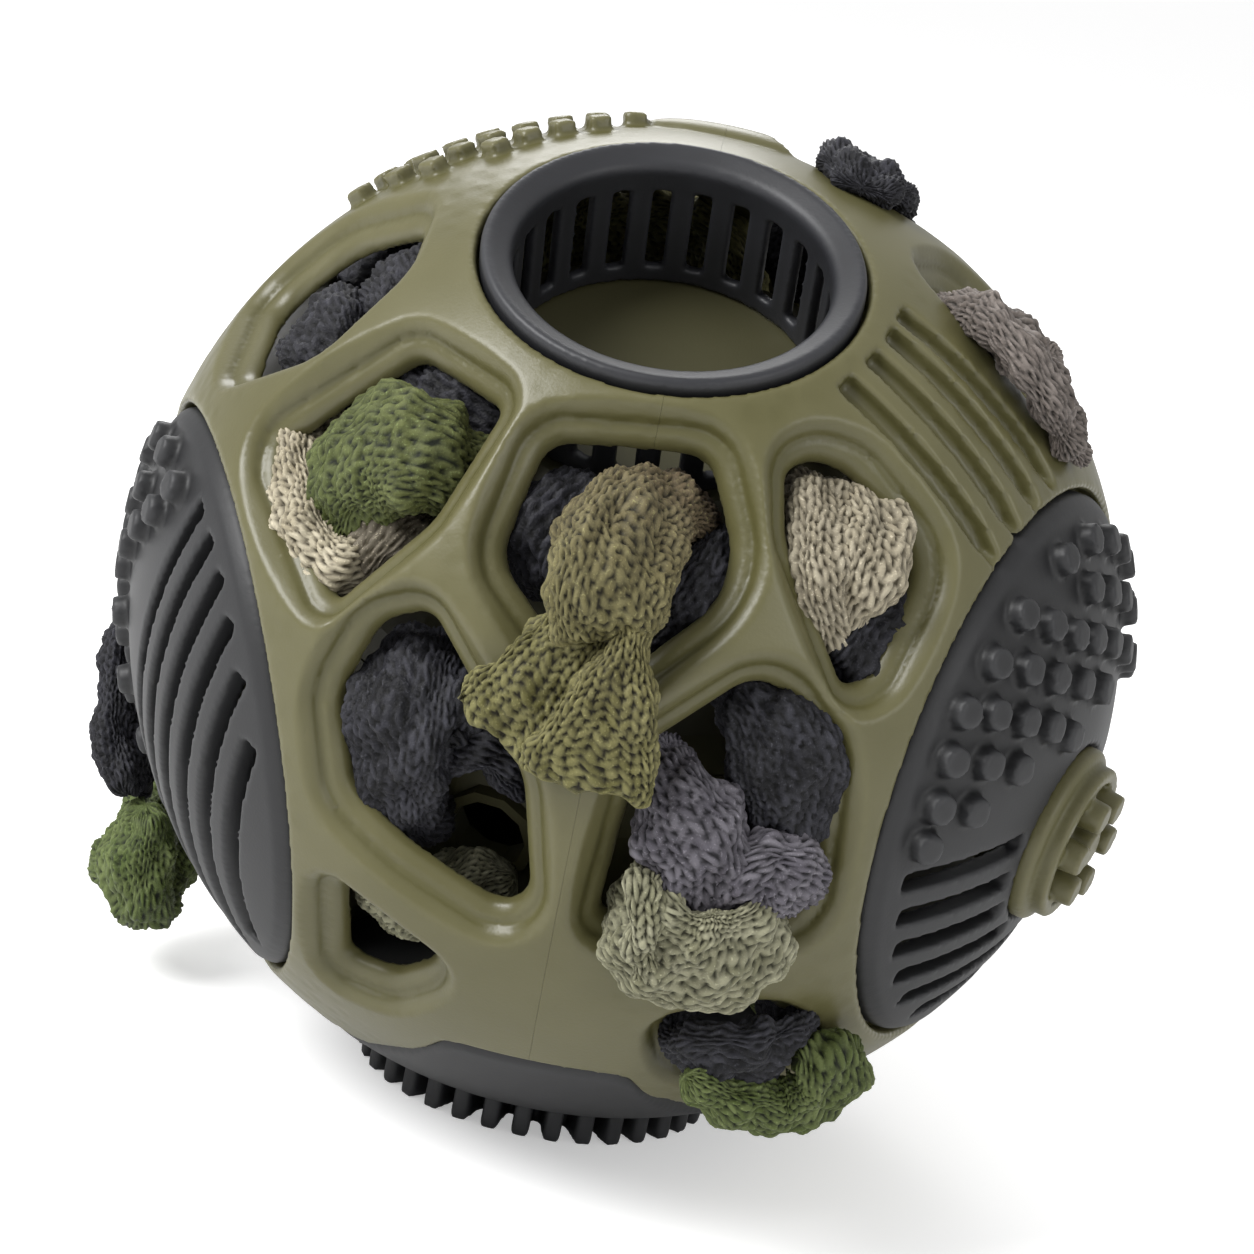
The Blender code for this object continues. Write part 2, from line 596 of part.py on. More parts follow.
def cup_seat_cutters():
    ring_top = BALL_RADIUS + OVERRUN
    recess_radius = RIM_OUTER_RADIUS + GAP
    ring_floor = RIM_TOP - RIM_THICKNESS - GAP
    profile = [(0.0, ring_top), (recess_radius, ring_top), (recess_radius, ring_floor),
               (0.0, ring_floor)]
    recess = turned("cup_recess", profile, 36, CUTTERS, CUP_FRAME)
    bore = BASKET_OUTER_RADIUS + GAP
    bottom = BALL_RADIUS - SHELL_WALL - 3 * OVERRUN
    profile = [(0.0, ring_top), (bore, ring_top), (bore, bottom), (0.0, bottom)]
    return [recess, turned("cup_bore", profile, 36, CUTTERS, CUP_FRAME)]


def foot_outline(growth):
    """Three lobes between the discs, with drawn-in flanks, as 2D points about the foot's axis."""
    points = []
    shoulder = BALL_RADIUS * FOOT_LOBE_SHOULDER_SHARE
    waist = BALL_RADIUS * FOOT_WAIST_SHARE
    lobes = [(-FOOT_WAIST_ANGLE, waist), (-FOOT_SHOULDER_ANGLE, shoulder),
             (-FOOT_LOBE_HALF_ANGLE, FOOT_LOBE_RADIUS), (0.0, FOOT_LOBE_RADIUS),
             (FOOT_LOBE_HALF_ANGLE, FOOT_LOBE_RADIUS), (FOOT_SHOULDER_ANGLE, shoulder),
             (FOOT_WAIST_ANGLE, waist)]
    for lobe in FOOT_LOBE_AZIMUTHS:
        for offset, radius in lobes:
            angle = math.radians(lobe + offset)
            reach = radius + growth
            points.append((reach * math.cos(angle), reach * math.sin(angle)))
    return points


def foot_prism(name, growth, top, bottom):
    rings = [[(x, y, level) for x, y in foot_outline(growth)] for level in (bottom, top)]
    return loft(name, rings, CUTTERS, Matrix.Translation(BALL_CENTRE))


def foot_skin_profile(outer, inner_sphere, inner_flat, outer_flat):
    """Profile of the foot's curved skin, upside down about the ball's centre."""
    reach = FOOT_LOBE_RADIUS + OVERRUN
    outer_edge = math.sqrt(outer ** 2 - outer_flat ** 2)
    inner_edge = math.sqrt(inner_sphere ** 2 - inner_flat ** 2)
    outside = arc(outer, 180.0 - polar_of(reach, outer), 180.0 - polar_of(outer_edge, outer), 6)
    inside = arc(inner_sphere, 180.0 - polar_of(inner_edge, inner_sphere),
                 180.0 - polar_of(reach, inner_sphere), 6)
    return [(0.0, -inner_flat)] + inside + outside + [(0.0, -outer_flat)]


def foot_seat_cutters():
    """Clears the shell for the foot's skin, and opens it over the flat middle."""
    floor = FOOT_INNER_SPHERE - FOOT_PLAY
    prism = foot_prism("foot_recess", FOOT_PLAY, -floor * math.cos(math.radians(60.0)),
                       -BALL_RADIUS - OVERRUN)
    cut(prism, sphere("foot_recess_floor", floor, 4, CUTTERS))
    seat = BALL_RADIUS * FOOT_SEAT_SHARE
    opening = turned("foot_opening", [(0.0, -CORE_RADIUS / 2), (seat, -CORE_RADIUS / 2),
                                      (seat, -BALL_RADIUS - OVERRUN),
                                      (0.0, -BALL_RADIUS - OVERRUN)],
                     40, CUTTERS, Matrix.Translation(BALL_CENTRE))
    return [prism, opening]


def groove_cutter(index, start, end):
    first = direction(*start)
    last = direction(*end)
    span = first.angle(last)
    curve = bpy.data.curves.new("groove_%d" % index, "CURVE")
    curve.dimensions = "3D"
    curve.bevel_depth = GROOVE_RADIUS
    curve.bevel_resolution = 2
    curve.use_fill_caps = True
    spline = curve.splines.new("POLY")
    spline.points.add(GROOVE_POINTS - 1)
    level = BALL_RADIUS + GROOVE_RADIUS - GROOVE_DEPTH
    for i in range(GROOVE_POINTS):
        share = i / (GROOVE_POINTS - 1)
        ray = (first * math.sin((1 - share) * span) + last * math.sin(share * span)) / math.sin(span)
        point = BALL_CENTRE + ray * level
        spline.points[i].co = (point.x, point.y, point.z, 1.0)
    tube = add_object("groove_curve_%d" % index, curve, CUTTERS)
    bpy.context.view_layer.update()
    graph = bpy.context.evaluated_depsgraph_get()
    mesh = bpy.data.meshes.new_from_object(tube.evaluated_get(graph))
    shape = bmesh.new()
    shape.from_mesh(mesh)
    bmesh.ops.remove_doubles(shape, verts=shape.verts, dist=WELD)
    made = from_bmesh("groove_%d" % index, shape, CUTTERS, tube.matrix_world.copy())
    bpy.data.objects.remove(tube)
    return made


def grip_blocks():
    """Rows of raised blocks behind the collar, along arcs about the collar's axis."""
    places = []
    for row in range(BLOCK_ROWS):
        ring = BALL_RADIUS * BLOCK_FIRST_SHARE + row * BLOCK_ROW_PITCH
        tilt = math.asin(ring / BALL_RADIUS)
        step = math.degrees(BLOCK_PITCH / ring)
        count = int((BLOCK_END_ANGLE - BLOCK_START_ANGLE) / step) + 1
        for i in range(count):
            angle = math.radians(BLOCK_START_ANGLE + (i + 0.5 * (row % 2)) * step)
            place = Matrix.Rotation(angle, 4, "Z") @ Matrix.Rotation(tilt, 4, "Y")
            level = BALL_RADIUS + (BLOCK_HEIGHT - BLOCK_ROOT) / 2
            places.append(place @ Matrix.Translation((0.0, 0.0, level)))
    sizes = (BLOCK_LENGTH, BLOCK_WIDTH, BLOCK_HEIGHT + BLOCK_ROOT)
    return blocks("grip_blocks", sizes, places, CUTTERS, CUP_FRAME)


def seam_box(name, side):
    """Half space on one side of the seam plane, kept half a gap away from it."""
    half = BALL_RADIUS + 2 * OVERRUN
    frame = Matrix.Translation(BALL_CENTRE)
    frame = frame @ Matrix.Rotation(math.radians(SEAM_AZIMUTH + 90.0), 4, "Z")
    offset = side * (half + GAP / 2)
    place = Matrix.Translation((offset, 0.0, 0.0))
    return blocks(name, (2 * half, 2 * half, 2 * half), [place], CUTTERS, frame)


def make_shell():
    whole = sphere("shell_whole", BALL_RADIUS, 4, CUTTERS)
    cut(whole, grip_blocks(), "UNION")
    recesses = []
    openings = []
    for recess, opening in [disc_seat_cutters(place) for place in DISCS] + [cup_seat_cutters(),
                                                                            foot_seat_cutters()]:
        recesses.append(recess)
        openings.append(opening)
    for recess in recesses:
        cut(whole, recess)
    cut(whole, sphere("shell_inside", BALL_RADIUS - SHELL_WALL, 4, CUTTERS))
    for opening in openings:
        cut(whole, opening)
    for name, corners in WINDOWS.items():
        cut(whole, window_cutter(name, corners))
    for index, (start, end) in enumerate(GROOVES):
        cut(whole, groove_cutter(index, start, end))
    for name, side in (("shell_left", -1.0), ("shell_right", 1.0)):
        half = add_object(name, whole.data.copy(), PARTS, whole.matrix_world.copy())
        cut(half, seam_box("seam_" + name, side), "INTERSECT")
        finish_part(half, "olive", 7.0)


# Treat collar
def make_collar():
    bottom = CORE_FLOOR_HEIGHT + GAP
    lap = RIM_TOP - RIM_THICKNESS
    profile = [(RIM_MOUTH_RADIUS, bottom), (RIM_MOUTH_RADIUS, RIM_TOP - BASKET_RIM_LAP / 2),
               (RIM_MOUTH_RADIUS + BASKET_RIM_LAP / 2, RIM_TOP + BASKET_RIM_LAP / 2),
               (RIM_MOUTH_RADIUS + BASKET_RIM_LAP, RIM_TOP + BASKET_RIM_LAP / 2),
               (RIM_OUTER_RADIUS - BASKET_RIM_LAP / 2, RIM_TOP),
               (RIM_OUTER_RADIUS, RIM_TOP - BASKET_RIM_LAP / 2), (RIM_OUTER_RADIUS, lap),
               (BASKET_OUTER_RADIUS, lap), (BASKET_OUTER_RADIUS, bottom),
               (RIM_MOUTH_RADIUS, bottom)]
    collar = turned("treat_collar", profile, 36, PARTS, CUP_FRAME)
    slot_bottom = bottom + SLOT_HOOP
    slot_top = lap - SLOT_TOP_BAND
    places = []
    for i in range(SLOT_COUNT):
        turn = Matrix.Rotation(math.tau * i / SLOT_COUNT, 4, "Z")
        middle = (RIM_MOUTH_RADIUS + BASKET_OUTER_RADIUS) / 2
        places.append(turn @ Matrix.Translation((middle, 0.0, (slot_top + slot_bottom) / 2)))
    sizes = (BASKET_WALL + 2 * OVERRUN, SLOT_WIDTH, slot_top - slot_bottom)
    cut(collar, blocks("collar_slots", sizes, places, CUTTERS, CUP_FRAME))
    finish_part(collar, "dark_grey")


# Hollow core in two halves
def core_profile(outer, floor, bottom_polar=180.0):
    start = math.degrees(math.acos(floor / outer))
    return [(0.0, floor)] + arc(outer, start, bottom_polar, 9)


def make_core():
    outer = core_profile(CORE_RADIUS, CORE_FLOOR_HEIGHT)
    whole = turned("core_whole", outer, 24, CUTTERS, CUP_FRAME)
    for place in KNOBS:
        top = HUB_SEAT_HEIGHT - GAP
        root = CORE_RADIUS - CORE_WALL
        profile = [(0.0, top), (CORE_BOSS_RADIUS, top), (CORE_BOSS_RADIUS, root), (0.0, root)]
        cut(whole, turned("core_boss_" + place, profile, 16, CUTTERS, knob_frame(place)), "UNION")
    for index, (azimuth, elevation) in enumerate(CORE_HOLES):
        lip_radius = CORE_HOLE_RADIUS + CORE_HOLE_LIP
        lip_top = CORE_RADIUS + CORE_HOLE_LIP_HEIGHT / 2
        root = CORE_RADIUS - CORE_WALL
        profile = [(0.0, lip_top), (lip_radius, lip_top), (lip_radius, root), (0.0, root)]
        lip = turned("core_lip_%d" % index, profile, 10, CUTTERS, ball_frame(azimuth, elevation))
        cut(whole, lip, "UNION")
    inner = core_profile(CORE_RADIUS - CORE_WALL, CORE_FLOOR_HEIGHT - CORE_WALL)
    cut(whole, turned("core_inside", inner, 24, CUTTERS, CUP_FRAME))
    for place in KNOBS:
        socket = KNOB_SHANK_RADIUS + GAP
        far = CORE_RADIUS / 2
        near = BALL_RADIUS
        profile = [(0.0, near), (socket, near), (socket, far), (0.0, far)]
        cut(whole, turned("core_socket_" + place, profile, 16, CUTTERS, knob_frame(place)))
    for index, (azimuth, elevation) in enumerate(CORE_HOLES):
        near = BALL_RADIUS
        far = CORE_RADIUS / 2
        profile = [(0.0, near), (CORE_HOLE_RADIUS, near), (CORE_HOLE_RADIUS, far), (0.0, far)]
        hole = turned("core_hole_%d" % index, profile, 10, CUTTERS, ball_frame(azimuth, elevation))
        cut(whole, hole)
    stem_bore = STEM_RADIUS + GAP
    profile = [(0.0, -CORE_RADIUS / 2), (stem_bore, -CORE_RADIUS / 2), (stem_bore, -BALL_RADIUS),
               (0.0, -BALL_RADIUS)]
    cut(whole, turned("core_stem_bore", profile, 20, CUTTERS, Matrix.Translation(BALL_CENTRE)))
    half = CORE_RADIUS + BALL_RADIUS
    for name, side in (("core_upper", 1.0), ("core_lower", -1.0)):
        part = add_object(name, whole.data.copy(), PARTS, whole.matrix_world.copy())
        level = CORE_RADIUS * CORE_SPLIT_SHARE + side * (half + GAP / 2)
        place = Matrix.Translation((0.0, 0.0, level))
        cut(part, blocks("split_" + name, (2 * half, 2 * half, 2 * half), [place], CUTTERS,
                             CUP_FRAME), "INTERSECT")
        finish_part(part, "core_olive")


# Side discs on their hub knobs
def knob_spot(place):
    """Where the knob's axis meets the disc, in the disc's own frame."""
    if place not in KNOBS:
        return None
    turn = disc_frame(place).to_3x3().inverted()
    spot = turn @ direction(*KNOBS[place]) * BALL_RADIUS
    return Vector((spot.x, spot.y))


def vent_places(knob):
    """Middle, height and length of each straight vent, which stops short of the knob."""
    places = []
    limit = DISC_RADIUS - VENT_RIM_MARGIN
    clear = KNOB_RADIUS + VENT_HUB_MARGIN
    for i in range(VENT_COUNT):
        y = -VENT_FIRST_DROP - i * VENT_PITCH
        reach = math.sqrt(limit ** 2 - y ** 2)
        ends = [(-reach, reach)]
        if knob is not None and abs(y - knob.y) < clear:
            half = math.sqrt(clear ** 2 - (y - knob.y) ** 2)
            ends = [(-reach, knob.x - half), (knob.x + half, reach)]
        for start, end in ends:
            places.append(((start + end) / 2, y, end - start))
    return places


def stud_places(knob):
    places = []
    first = DISC_RADIUS - STUD_EDGE_MARGIN
    for ring in range(STUD_RINGS):
        radius = first - ring * STUD_RING_PITCH
        low = math.asin((VENT_WIDTH + STUD_RADIUS - VENT_FIRST_DROP) / radius)
        span = math.pi - 2 * low
        count = int(span * radius / STUD_PITCH) + 1
        for i in range(count):
            angle = low + span * i / (count - 1)
            spot = Vector((radius * math.cos(angle), radius * math.sin(angle)))
            if knob is None or (spot - knob).length > KNOB_RADIUS + 2 * STUD_RADIUS:
                places.append(spot)
    return places


def make_disc(place):
    frame = disc_frame(place)
    rim = polar_of(DISC_RADIUS, BALL_RADIUS)
    bevel = math.degrees(DISC_RIM_BEVEL / BALL_RADIUS)
    profile = arc(BALL_RADIUS, 0.0, rim - bevel, 4)
    profile += [(DISC_RADIUS, BALL_RADIUS * math.cos(math.radians(rim)) - DISC_RIM_BEVEL)]
    profile += arc(DISC_INNER_SPHERE, polar_of(DISC_RADIUS, DISC_INNER_SPHERE), 0.0, 4)
    disc = turned("side_disc_" + place, profile, 32, PARTS, frame)
    knob = knob_spot(place)
    studs = bmesh.new()
    for spot in stud_places(knob):
        tilt = Vector((0.0, 0.0, 1.0)).rotation_difference(
            Vector((spot.x, spot.y, math.sqrt(BALL_RADIUS ** 2 - spot.length ** 2))))
        made = bmesh.ops.create_cone(studs, cap_ends=True, segments=5, radius1=STUD_RADIUS,
                                     radius2=STUD_RADIUS * STUD_TOP_SHARE,
                                     depth=STUD_HEIGHT + STUD_ROOT)
        level = BALL_RADIUS + (STUD_HEIGHT - STUD_ROOT) / 2
        stand = tilt.to_matrix().to_4x4() @ Matrix.Translation((0.0, 0.0, level))
        bmesh.ops.transform(studs, matrix=stand, verts=made["verts"])
    cut(disc, from_bmesh("studs_" + place, studs, CUTTERS, frame), "UNION")
    if knob is not None:
        fit_knob_seat(disc, place)
    vents = bmesh.new()
    for x, y, length in vent_places(knob):
        made = bmesh.ops.create_cube(vents, size=1.0)
        bmesh.ops.scale(vents, vec=(length, VENT_WIDTH, BALL_RADIUS), verts=made["verts"])
        bmesh.ops.translate(vents, vec=(x, y, BALL_RADIUS), verts=made["verts"])
    cut(disc, from_bmesh("vents_" + place, vents, CUTTERS, frame))
    finish_part(disc, "dark_grey", 5.0)


def fit_knob_seat(disc, place):
    """A pad under the disc, the flange's recess and the shank's bore, on the knob's axis."""
    frame = knob_frame(place)
    floor = KNOB_FLOOR - GAP
    pad = [(0.0, floor), (HUB_PAD_RADIUS, floor), (HUB_PAD_RADIUS, HUB_SEAT_HEIGHT),
           (0.0, HUB_SEAT_HEIGHT)]
    cut(disc, turned("hub_pad_" + place, pad, 24, CUTTERS, frame), "UNION")
    top = BALL_RADIUS + KNOB_FLANGE_HEIGHT
    recess = KNOB_RADIUS + GAP
    seat = [(0.0, top), (recess, top), (recess, floor), (0.0, floor)]
    cut(disc, turned("hub_recess_" + place, seat, 24, CUTTERS, frame))
    bore = KNOB_SHANK_RADIUS + GAP
    hole = [(0.0, top), (bore, top), (bore, CORE_RADIUS), (0.0, CORE_RADIUS)]
    cut(disc, turned("hub_bore_" + place, hole, 16, CUTTERS, frame))


def make_knob(place):
    frame = knob_frame(place)
    top = KNOB_FLOOR + KNOB_FLANGE_HEIGHT
    dish = top - KNOB_DISH_DEPTH
    inner = KNOB_RADIUS - KNOB_RIM_WIDTH
    shank_end = CORE_RADIUS - KNOB_SHANK_LAP
    profile = [(0.0, dish), (inner, dish), (inner, top), (KNOB_RADIUS - KNOB_BEVEL, top),
               (KNOB_RADIUS, top - KNOB_BEVEL), (KNOB_RADIUS, KNOB_FLOOR),
               (KNOB_SHANK_RADIUS, KNOB_FLOOR), (KNOB_SHANK_RADIUS, shank_end), (0.0, shank_end)]
    knob = turned("hub_knob_" + place, profile, 24, PARTS, frame)
    lugs = bmesh.new()
    spots = [(KNOB_BOSS_RADIUS, KNOB_BOSS_HEIGHT, 0.0, 0.0)]
    for i in range(LUG_COUNT):
        angle = math.tau * i / LUG_COUNT
        spots.append((LUG_RADIUS, LUG_HEIGHT, LUG_CIRCLE_RADIUS * math.cos(angle),
                      LUG_CIRCLE_RADIUS * math.sin(angle)))
    for radius, height, x, y in spots:
        made = bmesh.ops.create_cone(lugs, cap_ends=True, segments=8, radius1=radius,
                                     radius2=radius * STUD_TOP_SHARE, depth=height + STUD_ROOT)
        level = dish + (height - STUD_ROOT) / 2
        bmesh.ops.translate(lugs, vec=(x, y, level), verts=made["verts"])
    cut(knob, from_bmesh("lugs_" + place, lugs, CUTTERS, frame), "UNION")
    finish_part(knob, "olive")


# Foot plate with its ring of teeth
def make_foot():
    centre = Matrix.Translation(BALL_CENTRE)
    profile = foot_skin_profile(BALL_RADIUS, FOOT_INNER_SPHERE, FOOT_FLAT_DEPTH - FOOT_SKIN,
                                FOOT_FLAT_DEPTH)
    plate = turned("foot_plate", profile, 36, PARTS, centre)
    prism = foot_prism("foot_outline", 0.0, -BALL_RADIUS / 3, -BALL_RADIUS - OVERRUN)
    cut(plate, prism, "INTERSECT")
    pad = [(0.0, -FOOT_FLAT_DEPTH + FOOT_SKIN / 2), (PAD_RADIUS, -FOOT_FLAT_DEPTH + FOOT_SKIN / 2),
           (PAD_RADIUS, -CENTRE_HEIGHT), (0.0, -CENTRE_HEIGHT)]
    cut(plate, turned("foot_pad", pad, 24, CUTTERS, centre), "UNION")
    stem_root = -FOOT_FLAT_DEPTH + FOOT_SKIN / 2
    stem_top = STEM_LAP - CORE_RADIUS
    stem = [(0.0, stem_top), (STEM_RADIUS, stem_top), (STEM_RADIUS, stem_root), (0.0, stem_root)]
    cut(plate, turned("foot_stem", stem, 20, CUTTERS, centre), "UNION")
    length = TOOTH_OUTER_RADIUS - TOOTH_INNER_RADIUS
    height = TOOTH_DROP + FOOT_SKIN / 2
    places = []
    for i in range(TOOTH_COUNT):
        turn = Matrix.Rotation(math.tau * (i + 0.5) / TOOTH_COUNT, 4, "Z")
        middle = (TOOTH_OUTER_RADIUS + TOOTH_INNER_RADIUS) / 2
        places.append(turn @ Matrix.Translation((middle, 0.0, height / 2 - CENTRE_HEIGHT)))
    width = BALL_RADIUS * TOOTH_WIDTH_SHARE
    teeth = blocks("foot_teeth", (length, width, height), places, CUTTERS, centre)
    cut(plate, teeth, "UNION")
    finish_part(plate, "dark_grey", 5.0)


# Cloth strips
def cloth_point(azimuth, elevation, rise):
    """A point at a share of the way from the core's surface out to the ball's."""
    return ball_point(azimuth, elevation, CORE_RADIUS + rise * CORE_CLEARANCE)


def cloth_ring(route, place):
    """One eight-sided section of a strip, square to its path and wide along the ball's surface."""
    azimuth, elevation, rise, width_share, thickness_share = route[place]
    width = width_share * BALL_RADIUS
    thickness = thickness_share * CORE_CLEARANCE
    point = cloth_point(azimuth, elevation, rise)
    before = cloth_point(*route[max(place - 1, 0)][:3])
    after = cloth_point(*route[min(place + 1, len(route) - 1)][:3])
    along = (after - before).normalized()
    out = direction(azimuth, elevation)
    side = along.cross(out).normalized()
    thick = side.cross(along).normalized()
    ring = []
    for i in range(CLOTH_SIDES):
        angle = math.tau * (i + 0.5) / CLOTH_SIDES
        ring.append(point + side * (width / 2 * math.cos(angle)) +
                    thick * (thickness / 2 * math.sin(angle)))
    return ring


def make_cloth(name, colour, routes):
    lofts = []
    for index, route in enumerate(routes):
        rings = [cloth_ring(route, place) for place in range(len(route))]
        home = PARTS if index == 0 else CUTTERS
        label = "cloth_" + name if index == 0 else "tail_%s_%d" % (name, index)
        lofts.append(loft(label, rings, home))
    for tail in lofts[1:]:
        cut(lofts[0], tail, "UNION")
    finish_part(lofts[0], colour)


make_shell()
make_collar()
make_core()
for disc_place in DISCS:
    make_disc(disc_place)
for knob_place in KNOBS:
    make_knob(knob_place)
make_foot()
for cloth_name, (cloth_colour, cloth_routes) in CLOTH.items():
    make_cloth(cloth_name, cloth_colour, cloth_routes)
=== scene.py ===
import math

import bmesh
import bpy
import numpy as np
from mathutils import Matrix, Vector


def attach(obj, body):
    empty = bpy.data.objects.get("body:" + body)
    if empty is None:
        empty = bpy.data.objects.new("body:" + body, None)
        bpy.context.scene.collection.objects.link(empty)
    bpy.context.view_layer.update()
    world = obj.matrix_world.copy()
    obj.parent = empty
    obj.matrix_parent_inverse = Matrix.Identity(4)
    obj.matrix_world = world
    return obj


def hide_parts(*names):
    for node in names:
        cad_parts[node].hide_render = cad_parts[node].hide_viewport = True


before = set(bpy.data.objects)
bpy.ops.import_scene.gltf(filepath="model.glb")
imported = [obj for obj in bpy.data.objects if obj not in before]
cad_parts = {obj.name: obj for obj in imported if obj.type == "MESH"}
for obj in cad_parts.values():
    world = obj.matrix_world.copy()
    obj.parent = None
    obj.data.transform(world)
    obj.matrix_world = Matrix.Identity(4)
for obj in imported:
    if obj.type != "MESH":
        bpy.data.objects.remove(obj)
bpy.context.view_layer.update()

# Studio: a plain near-white table under soft light from the upper left, with the camera where the
# photograph was taken from, a little above the ball, which leans to the right in the frame.
# The ball's middle is the point that every piece below is placed from.
BALL_CENTRE = Vector((0.0, 0.0, 0.0742))
CAMERA_PLACE = (0.04451, -0.46972, 0.19682)
CAMERA_LENS = 91.466
# The camera's right, up and back, as the columns of its turn
CAMERA_AXES = ((0.9705, -0.2234, 0.0904), (0.1421, 0.2277, -0.9633), (0.1946, 0.9478, 0.2527))
FLOOR_SIZE = 16.0
FLOOR_WHITE = (0.92, 0.92, 0.92, 1.0)
FLOOR_GLOW = 0.40
SKY_STRENGTH = 0.66
# Place, width and power in watts of each softbox
SOFTBOXES = {
    "key_softbox": ((-0.78, -0.52, 0.95), 0.62, 18.0),
    "side_softbox": ((0.95, -0.75, 0.55), 0.55, 3.0),
    "back_softbox": ((-0.30, 1.05, 0.85), 0.60, 6.0),
}


def feed(node, sockets):
    """Sets a node's sockets, or links them where the value is another node's output."""
    for key, value in sockets.items():
        if isinstance(value, bpy.types.NodeSocket):
            node.id_data.links.new(value, node.inputs[key])
        else:
            node.inputs[key].default_value = value


def add_node(tree, kind, sockets, **settings):
    """One more node in the tree, set up and fed; gives back its outputs."""
    node = tree.nodes.new("ShaderNode" + kind)
    for name, value in settings.items():
        setattr(node, name, value)
    feed(node, sockets)
    return node.outputs


def new_material(name):
    """A material with nodes, and its shader."""
    material = bpy.data.materials.new(name)
    material.use_nodes = True
    return material, material.node_tree.nodes["Principled BSDF"]


bpy.context.scene.view_settings.view_transform = "Standard"
camera = bpy.data.objects.new("camera", bpy.data.cameras.new("camera"))
camera.data.lens = CAMERA_LENS
camera.data.sensor_width = 36.0
camera.data.clip_start = 0.01
camera.rotation_mode = "QUATERNION"
camera.rotation_quaternion = Matrix(CAMERA_AXES).to_quaternion()
camera.location = CAMERA_PLACE
bpy.context.scene.collection.objects.link(camera)
bpy.context.scene.camera = camera

for name, (place, size, watts) in SOFTBOXES.items():
    softbox = bpy.data.objects.new(name, bpy.data.lights.new(name, "AREA"))
    softbox.data.shape = "SQUARE"
    softbox.data.size = size
    softbox.data.energy = watts
    softbox.location = place
    softbox.rotation_euler = (BALL_CENTRE - Vector(place)).to_track_quat("-Z", "Y").to_euler()
    bpy.context.scene.collection.objects.link(softbox)

sky = bpy.data.worlds.new("studio_sky")
sky.use_nodes = True
sky.node_tree.nodes["Background"].inputs["Color"].default_value = (1.0, 1.0, 1.0, 1.0)
sky.node_tree.nodes["Background"].inputs["Strength"].default_value = SKY_STRENGTH
bpy.context.scene.world = sky

floor_shape = bmesh.new()
bmesh.ops.create_grid(floor_shape, x_segments=4, y_segments=4, size=FLOOR_SIZE / 2)
floor_mesh = bpy.data.meshes.new("floor")
floor_shape.to_mesh(floor_mesh)
floor_shape.free()
table_white, table_shader = new_material("table_white")
seen = add_node(table_shader.id_data, "LightPath", {})["Is Camera Ray"]
glow = add_node(table_shader.id_data, "Math", {0: seen, 1: FLOOR_GLOW}, operation="MULTIPLY")
feed(table_shader, {"Base Color": FLOOR_WHITE, "Roughness": 0.9, "Specular IOR Level": 0.1,
                    "Emission Color": FLOOR_WHITE, "Emission Strength": glow["Value"]})
floor_mesh.materials.append(table_white)
floor = bpy.data.objects.new("floor", floor_mesh)
bpy.context.scene.collection.objects.link(floor)

# Treat core: the hollow olive pod behind the windows, moulded in two halves that close round the
# shanks of the hub knobs. Both halves are the CAD solids, in the shell's rubber darkened as a
# painted shade for the inside of the ball, with a faint cloudiness from the mould and a fine
# grain.
# The core's colours are the shell's olive darkened, a painted shade for the dim inside of the ball
CORE_OLIVE_SHADED = (0.044, 0.041, 0.016, 1.0)
CORE_OLIVE_SHADED_PALE = (0.062, 0.058, 0.025, 1.0)
CORE_ROUGHNESS = 0.50
RUBBER_CLOUD = 42.0
RUBBER_GRAIN = 2400.0
RUBBER_GRAIN_DEPTH = 0.00006


def attribute(tree, title):
    """A number kept at the mesh's vertices."""
    return add_node(tree, "Attribute", {}, attribute_name=title)["Fac"]


def noise(tree, place, scale, detail):
    """Noise through the piece's own space."""
    return add_node(tree, "TexNoise", {"Vector": place, "Scale": scale, "Detail": detail})["Fac"]


def ranged(tree, value, limits):
    """A value brought from one range into another."""
    return add_node(tree, "MapRange", {"Value": value, **limits})["Result"]


def mixed(tree, share, first, then):
    """One colour or colour socket passing into another."""
    return add_node(tree, "Mix", {"Factor": share, "A": first, "B": then},
                    data_type="RGBA")["Result"]


def moulded_rubber(name, colour, paler, roughness):
    """Rubber: cloudy tone, paler on raised edges, painted shade in hollows, and a fine moulded
    grain.
    """
    rubber, shader = new_material(name)
    tree = shader.id_data
    place = add_node(tree, "TexCoord", {})["Object"]
    cloud = noise(tree, place, RUBBER_CLOUD, 5.0)
    tone = ranged(tree, cloud, {"From Min": 0.35, "From Max": 0.75, "To Max": 0.45})
    # Raised edges push the mix to the paler tone; hollows pull it back to the base colour, a
    # painted shade
    share = add_node(tree, "Math", {0: tone, 1: attribute(tree, "raised_edge_hollow_shade")}, operation="ADD",
                     use_clamp=True)["Value"]
    bump = add_node(tree, "Bump", {"Height": noise(tree, place, RUBBER_GRAIN, 2.0),
                                   "Strength": 0.35, "Distance": RUBBER_GRAIN_DEPTH})["Normal"]
    feed(shader, {"Base Color": mixed(tree, share, colour, paler), "Normal": bump,
                  "Roughness": ranged(tree, cloud, {"To Min": roughness - 0.06,
                                                    "To Max": roughness + 0.10}),
                  "Specular IOR Level": 0.45})
    return rubber


def finish_cad_node(node, material):
    """Gives a carried-over solid its material."""
    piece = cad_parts[node]
    for place in piece.material_slots:
        place.material = material
    if not piece.material_slots:
        piece.data.materials.append(material)


core_shaded_rubber = moulded_rubber("core_shaded_rubber", CORE_OLIVE_SHADED, CORE_OLIVE_SHADED_PALE, CORE_ROUGHNESS)
for node in ("core_upper", "core_lower"):
    finish_cad_node(node, core_shaded_rubber)

